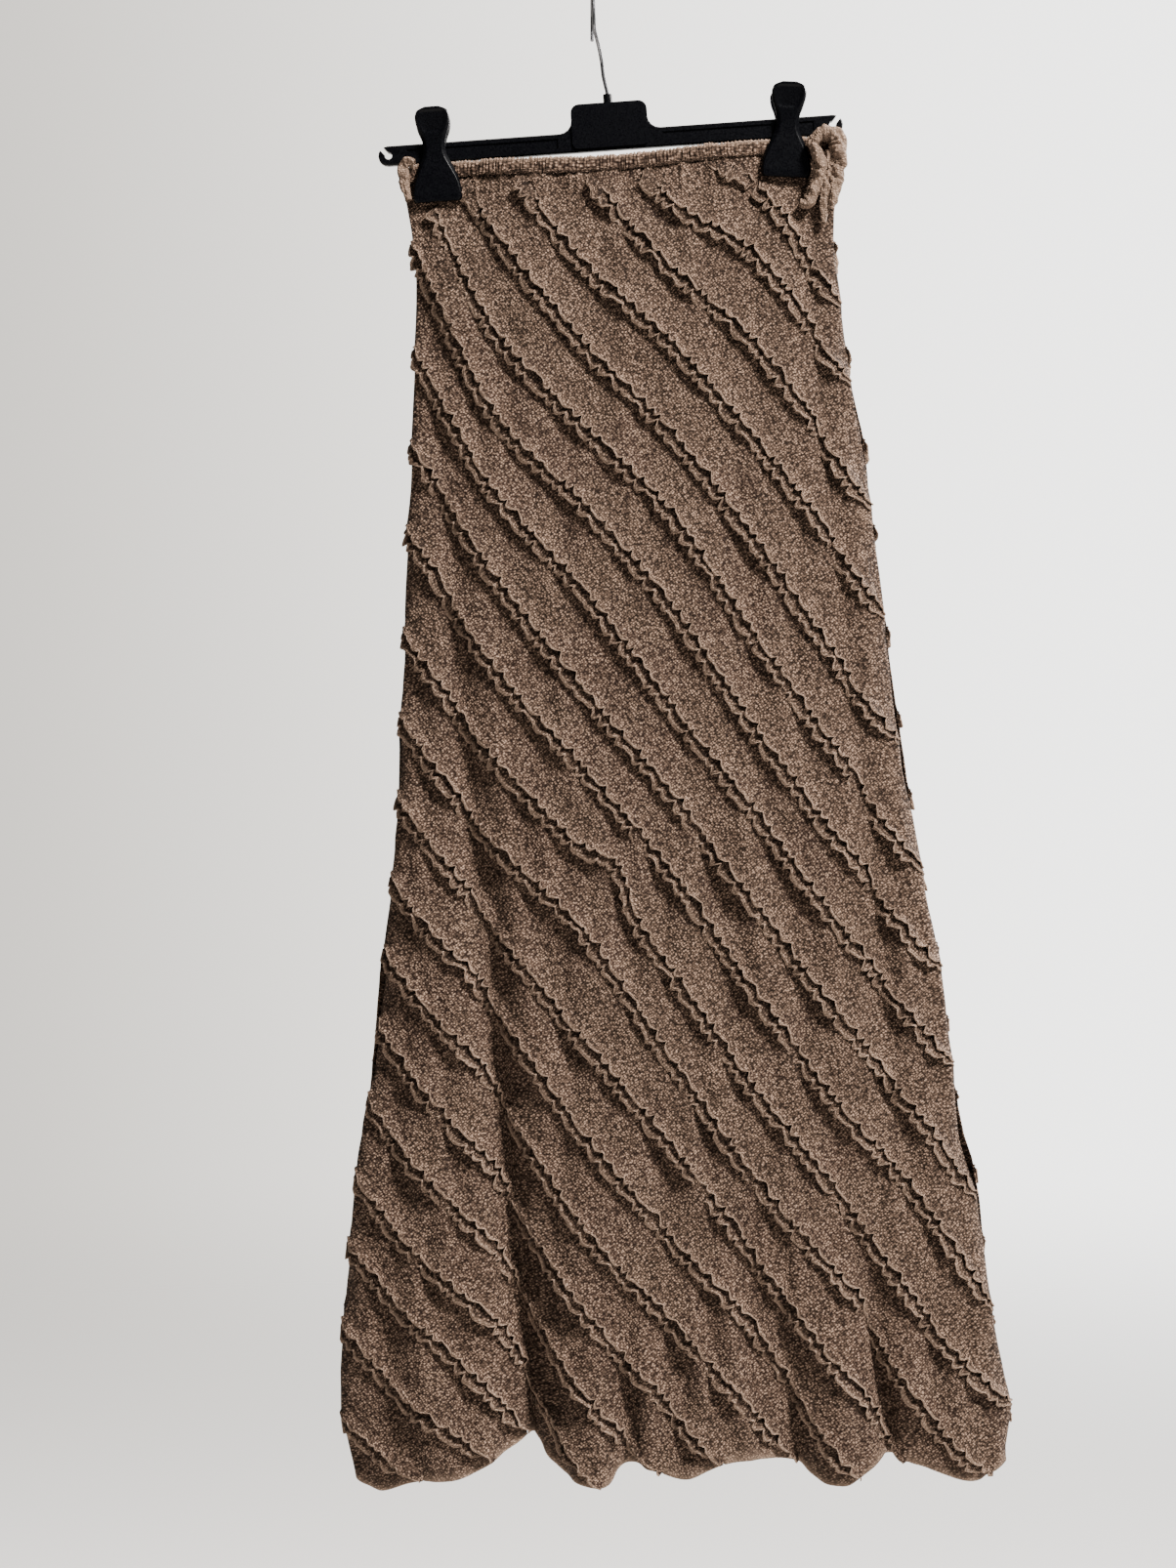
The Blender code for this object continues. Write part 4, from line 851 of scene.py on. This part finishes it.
# ---- materials ----
class Graph:
    """The nodes of a material or of the world."""

    def __init__(self, owner):
        owner.use_nodes = True
        self.nodes, self.links = owner.node_tree.nodes, owner.node_tree.links

    def join(self, node, inputs):
        """Set each of these inputs of a node to its value, or join it to the output it comes from."""
        for name, value in inputs.items():
            if isinstance(value, bpy.types.NodeSocket):
                self.links.new(value, node.inputs[name])
            else:
                node.inputs[name].default_value = value
        return node

    def add(self, kind, inputs):
        return self.join(self.nodes.new("ShaderNode" + kind), inputs)

    def ramp(self, value, stops):
        """The colour that the stops give a value."""
        node = self.add("ValToRGB", {"Fac": value})
        elements = node.color_ramp.elements
        for index, (position, colour) in ((0, stops[0]), (1, stops[-1])):
            elements[index].position, elements[index].color = position, (*colour, 1)
        for position, colour in stops[1:-1]:
            elements.new(position).color = (*colour, 1)
        return node.outputs[0]

    def range(self, value, low, high, first=0.0, last=1.0, kind="LINEAR"):
        """A value's way from low to high, as one from first to last."""
        node = self.add("MapRange", {})
        node.interpolation_type = kind
        return self.join(node, {"Value": value, "From Min": low, "From Max": high,
                                "To Min": first, "To Max": last}).outputs[0]

    def cells(self, place, size):
        """A place as a number of cells of this size in millimetres."""
        scale = [1 / (length * MM) for length in (*size, 1.0)][:3]
        return self.add("Mapping", {"Vector": place, "Scale": scale}).outputs[0]

    def noise(self, place, size, detail, distortion=0.0):
        return self.add("TexNoise", {"Vector": self.cells(place, size), "Scale": 1.0, "Detail": detail,
                                     "Distortion": distortion}).outputs[0]

    def blend(self, kind, amount, first, second):
        node = self.add("Mix", {})
        node.data_type, node.blend_type = "RGBA", kind
        return self.join(node, {"Factor": amount, "A": first, "B": second}).outputs["Result"]

    def bump(self, shader, height, strength, relief):
        node = self.add("Bump", {"Height": height, "Strength": strength, "Distance": relief * MM})
        self.join(shader, {"Normal": node.outputs[0]})


def new_material(name, colour, roughness, metallic=0.0, specular=0.5):
    """A plain material, its nodes and its main shader."""
    made = bpy.data.materials.new(name)
    graph = Graph(made)
    graph.nodes.clear()
    shader = graph.add("BsdfPrincipled", {"Base Color": (*colour, 1), "Roughness": roughness,
                                          "Metallic": metallic, "Specular IOR Level": specular})
    graph.add("OutputMaterial", {"Surface": shader.outputs[0]})
    return made, graph, shader


def cloth_material():
    """Crinkled cloth: small uneven puffs with painted shade in the grooves between them, and painted
    highlights and shade from the edge attribute.
    """
    made, graph, shader = new_material("crinkled cloth", PAINTED_HIGHLIGHT_COLOUR, CLOTH_ROUGHNESS, 0.0, CLOTH_SPECULAR)
    laid_out = graph.add("UVMap", {})
    laid_out.uv_map = "cloth"
    place = laid_out.outputs[0]
    edge = graph.add("Attribute", {})
    edge.attribute_name = "edge"
    painted_shading = edge.outputs["Fac"]
    puffs = graph.add("TexVoronoi", {"Vector": graph.cells(place, PUFF_SIZE), "Scale": 1.0,
                                     "Randomness": PUFF_UNEVENNESS})
    height = graph.range(puffs.outputs["Distance"], PUFF_FOOT, PUFF_TOP)
    for share, *grain in GRAINS:
        height = graph.blend("MIX", share, height, graph.noise(place, *grain))
    shift = graph.ramp(graph.noise(place, *TONE_PATCHES), TONE_SHIFT)
    # The puff tones paint shade into the grooves. The edge attribute paints shade between two frills below
    # 0, and mixes in the painted highlight colour above 0.
    colour = graph.blend("MULTIPLY", 1.0, graph.ramp(height, CLOTH_TONES_WITH_PAINTED_SHADE), shift)
    colour = graph.blend("MULTIPLY", 1.0, colour, graph.range(painted_shading, -1.0, 0.0, GROOVE_SHADE, 1.0))
    colour = graph.blend("MIX", painted_shading, colour, (*PAINTED_HIGHLIGHT_COLOUR, 1))
    graph.join(shader, {"Base Color": colour})
    graph.bump(shader, height, 1.0, PUFF_RELIEF)
    return made


def grained_material(name, dark, light, gloss, metallic, specular, grain, relief):
    """A hard surface with a fine uneven grain in its colour, gloss and relief."""
    made, graph, shader = new_material(name, dark, gloss[0], metallic, specular)
    noise = graph.noise(graph.add("TexCoord", {}).outputs["Object"], grain, GRAIN_DETAIL)
    tone = graph.ramp(noise, ((TONE_SPAN[0], dark), (TONE_SPAN[1], light)))
    graph.join(shader, {"Base Color": tone, "Roughness": graph.range(noise, *GLOSS_SPAN, *gloss)})
    graph.bump(shader, noise, GRAIN_BUMP, relief)
    return made


def floor_material():
    """A pale floor that fades into the room round it."""
    made, graph, shader = new_material("pale floor", FLOOR_COLOUR, 0.9)
    away = graph.add("VectorMath", {})
    away.operation = "LENGTH"
    graph.join(away, {0: graph.add("TexCoord", {}).outputs["Object"]})
    fading = graph.range(away.outputs["Value"], *FLOOR_FADE, kind="SMOOTHSTEP")
    clear = graph.add("BsdfTransparent", {})
    mix = graph.add("MixShader", {0: fading, 1: shader.outputs[0], 2: clear.outputs[0]})
    graph.join(graph.nodes["Material Output"], {"Surface": mix.outputs[0]})
    return made


# ---- stage ----
CAMERA_DISTANCE = 2.0  # metres, as all lengths of the stage
VIEW_HEIGHT = 1.1242  # across the picture's long side at the skirt's middle
VIEW_CENTRE = (-0.003, -0.015, -0.573)
SENSOR = (27.0, 36.0)  # millimetres
# Name, place, what it points at, size, watts, colour.
LIGHTS = (
    ("key", (2.25, -2.32, 2.9), (0, 0, -0.6), (1, 1), 1480, (1, 0.972, 0.94)),
    ("fill", (-1.6, -1.8, -0.2), (0, 0, -0.6), (1.4, 1.4), 3, (0.95, 0.97, 1)),
    ("back", (1.7, 1, 0.7), (0, 0, -0.5), (0.6, 0.9), 260, (1, 0.98, 0.96)),
)
ROOM_COLOURS = ((1.0, 0.945, 0.865), (1.0, 0.995, 0.98))  # on the left and on the right
ROOM_LEFT = 0.29  # part of the brightness that is left on the left
ROOM_FRONT, ROOM_BEHIND = 0.28, 3.6  # brightness of the room before and behind the skirt
ROOM_ACROSS, ROOM_ALONG = (-0.3, 0.24), (-0.2, 0.8)  # parts of X and Y over which it changes
FLOOR_COLOUR = (0.58, 0.565, 0.55)
FLOOR_FADE = (2.5, 8.0)  # distances over which the floor fades away
FLOOR_DROP = 1.9  # the hook hangs on a rail this high


def set_camera():
    camera = bpy.data.cameras.new("camera")
    camera.sensor_fit = "VERTICAL"
    camera.sensor_width, camera.sensor_height = SENSOR
    camera.lens = SENSOR[1] * CAMERA_DISTANCE / VIEW_HEIGHT
    eye = link("camera", camera)
    eye.location = (VIEW_CENTRE[0], VIEW_CENTRE[1] - CAMERA_DISTANCE, VIEW_CENTRE[2])
    eye.rotation_euler = (math.radians(90), 0, 0)
    bpy.context.scene.camera = eye


def add_light(name, place, target, size, power, colour):
    light = bpy.data.lights.new(name, "AREA")
    light.shape = "RECTANGLE"
    light.size, light.size_y = size
    light.energy = power
    light.color = colour
    lamp = link(name, light)
    lamp.location = place
    lamp.rotation_euler = (Vector(target) - Vector(place)).to_track_quat("-Z", "Y").to_euler()


def set_room():
    """Light from all round, that differs from left to right and from front to back."""
    world = bpy.data.worlds.new("room")
    graph = Graph(world)
    where = graph.add("TexCoord", {}).outputs["Generated"]
    parts = graph.add("SeparateXYZ", {0: where}).outputs

    def spread(axis, span, first, last):
        return graph.range(parts[axis], *span, first, last, "SMOOTHSTEP")

    strength = graph.add("Math", {0: spread("X", ROOM_ACROSS, ROOM_LEFT, 1.0),
                                  1: spread("Y", ROOM_ALONG, ROOM_FRONT, ROOM_BEHIND)})
    strength.operation = "MULTIPLY"
    tint = graph.ramp(spread("X", ROOM_ACROSS, 0.0, 1.0), tuple(enumerate(ROOM_COLOURS)))
    graph.join(graph.nodes["Background"], {"Color": tint, "Strength": strength.outputs[0]})
    bpy.context.scene.world = world


def add_floor():
    mesh = bpy.data.meshes.new("floor")
    side = FLOOR_FADE[1]
    corners = [(x * side, y * side, -FLOOR_DROP) for x, y in ((-1, -1), (1, -1), (1, 1), (-1, 1))]
    mesh.from_pydata(corners, [], [(0, 1, 2, 3)])
    mesh.materials.append(floor_material())
    floor = link("floor", mesh)


def main():
    cloth = cloth_material()
    surfaces = {name: grained_material(name, *values) for name, values in SURFACES.items()}
    for node, name in NODE_SURFACES.items():
        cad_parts[node].data.materials[0] = surfaces[name]
    build_clips(surfaces["black plastic"])
    for word in ("front", "back"):
        panel = Panel(word)
        build_strips(panel, cloth)
        build_casing(panel, cloth)
    for count, (name, route) in enumerate(ROLLS.items()):
        roll = build_roll(name, route, ROLL_SEED + ROLL_SEEDS * count, cloth)
        if name == "rolled_end":
            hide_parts("waist_roll")
    set_camera()
    for light in LIGHTS:
        add_light(*light)
    set_room()
    add_floor()


main()
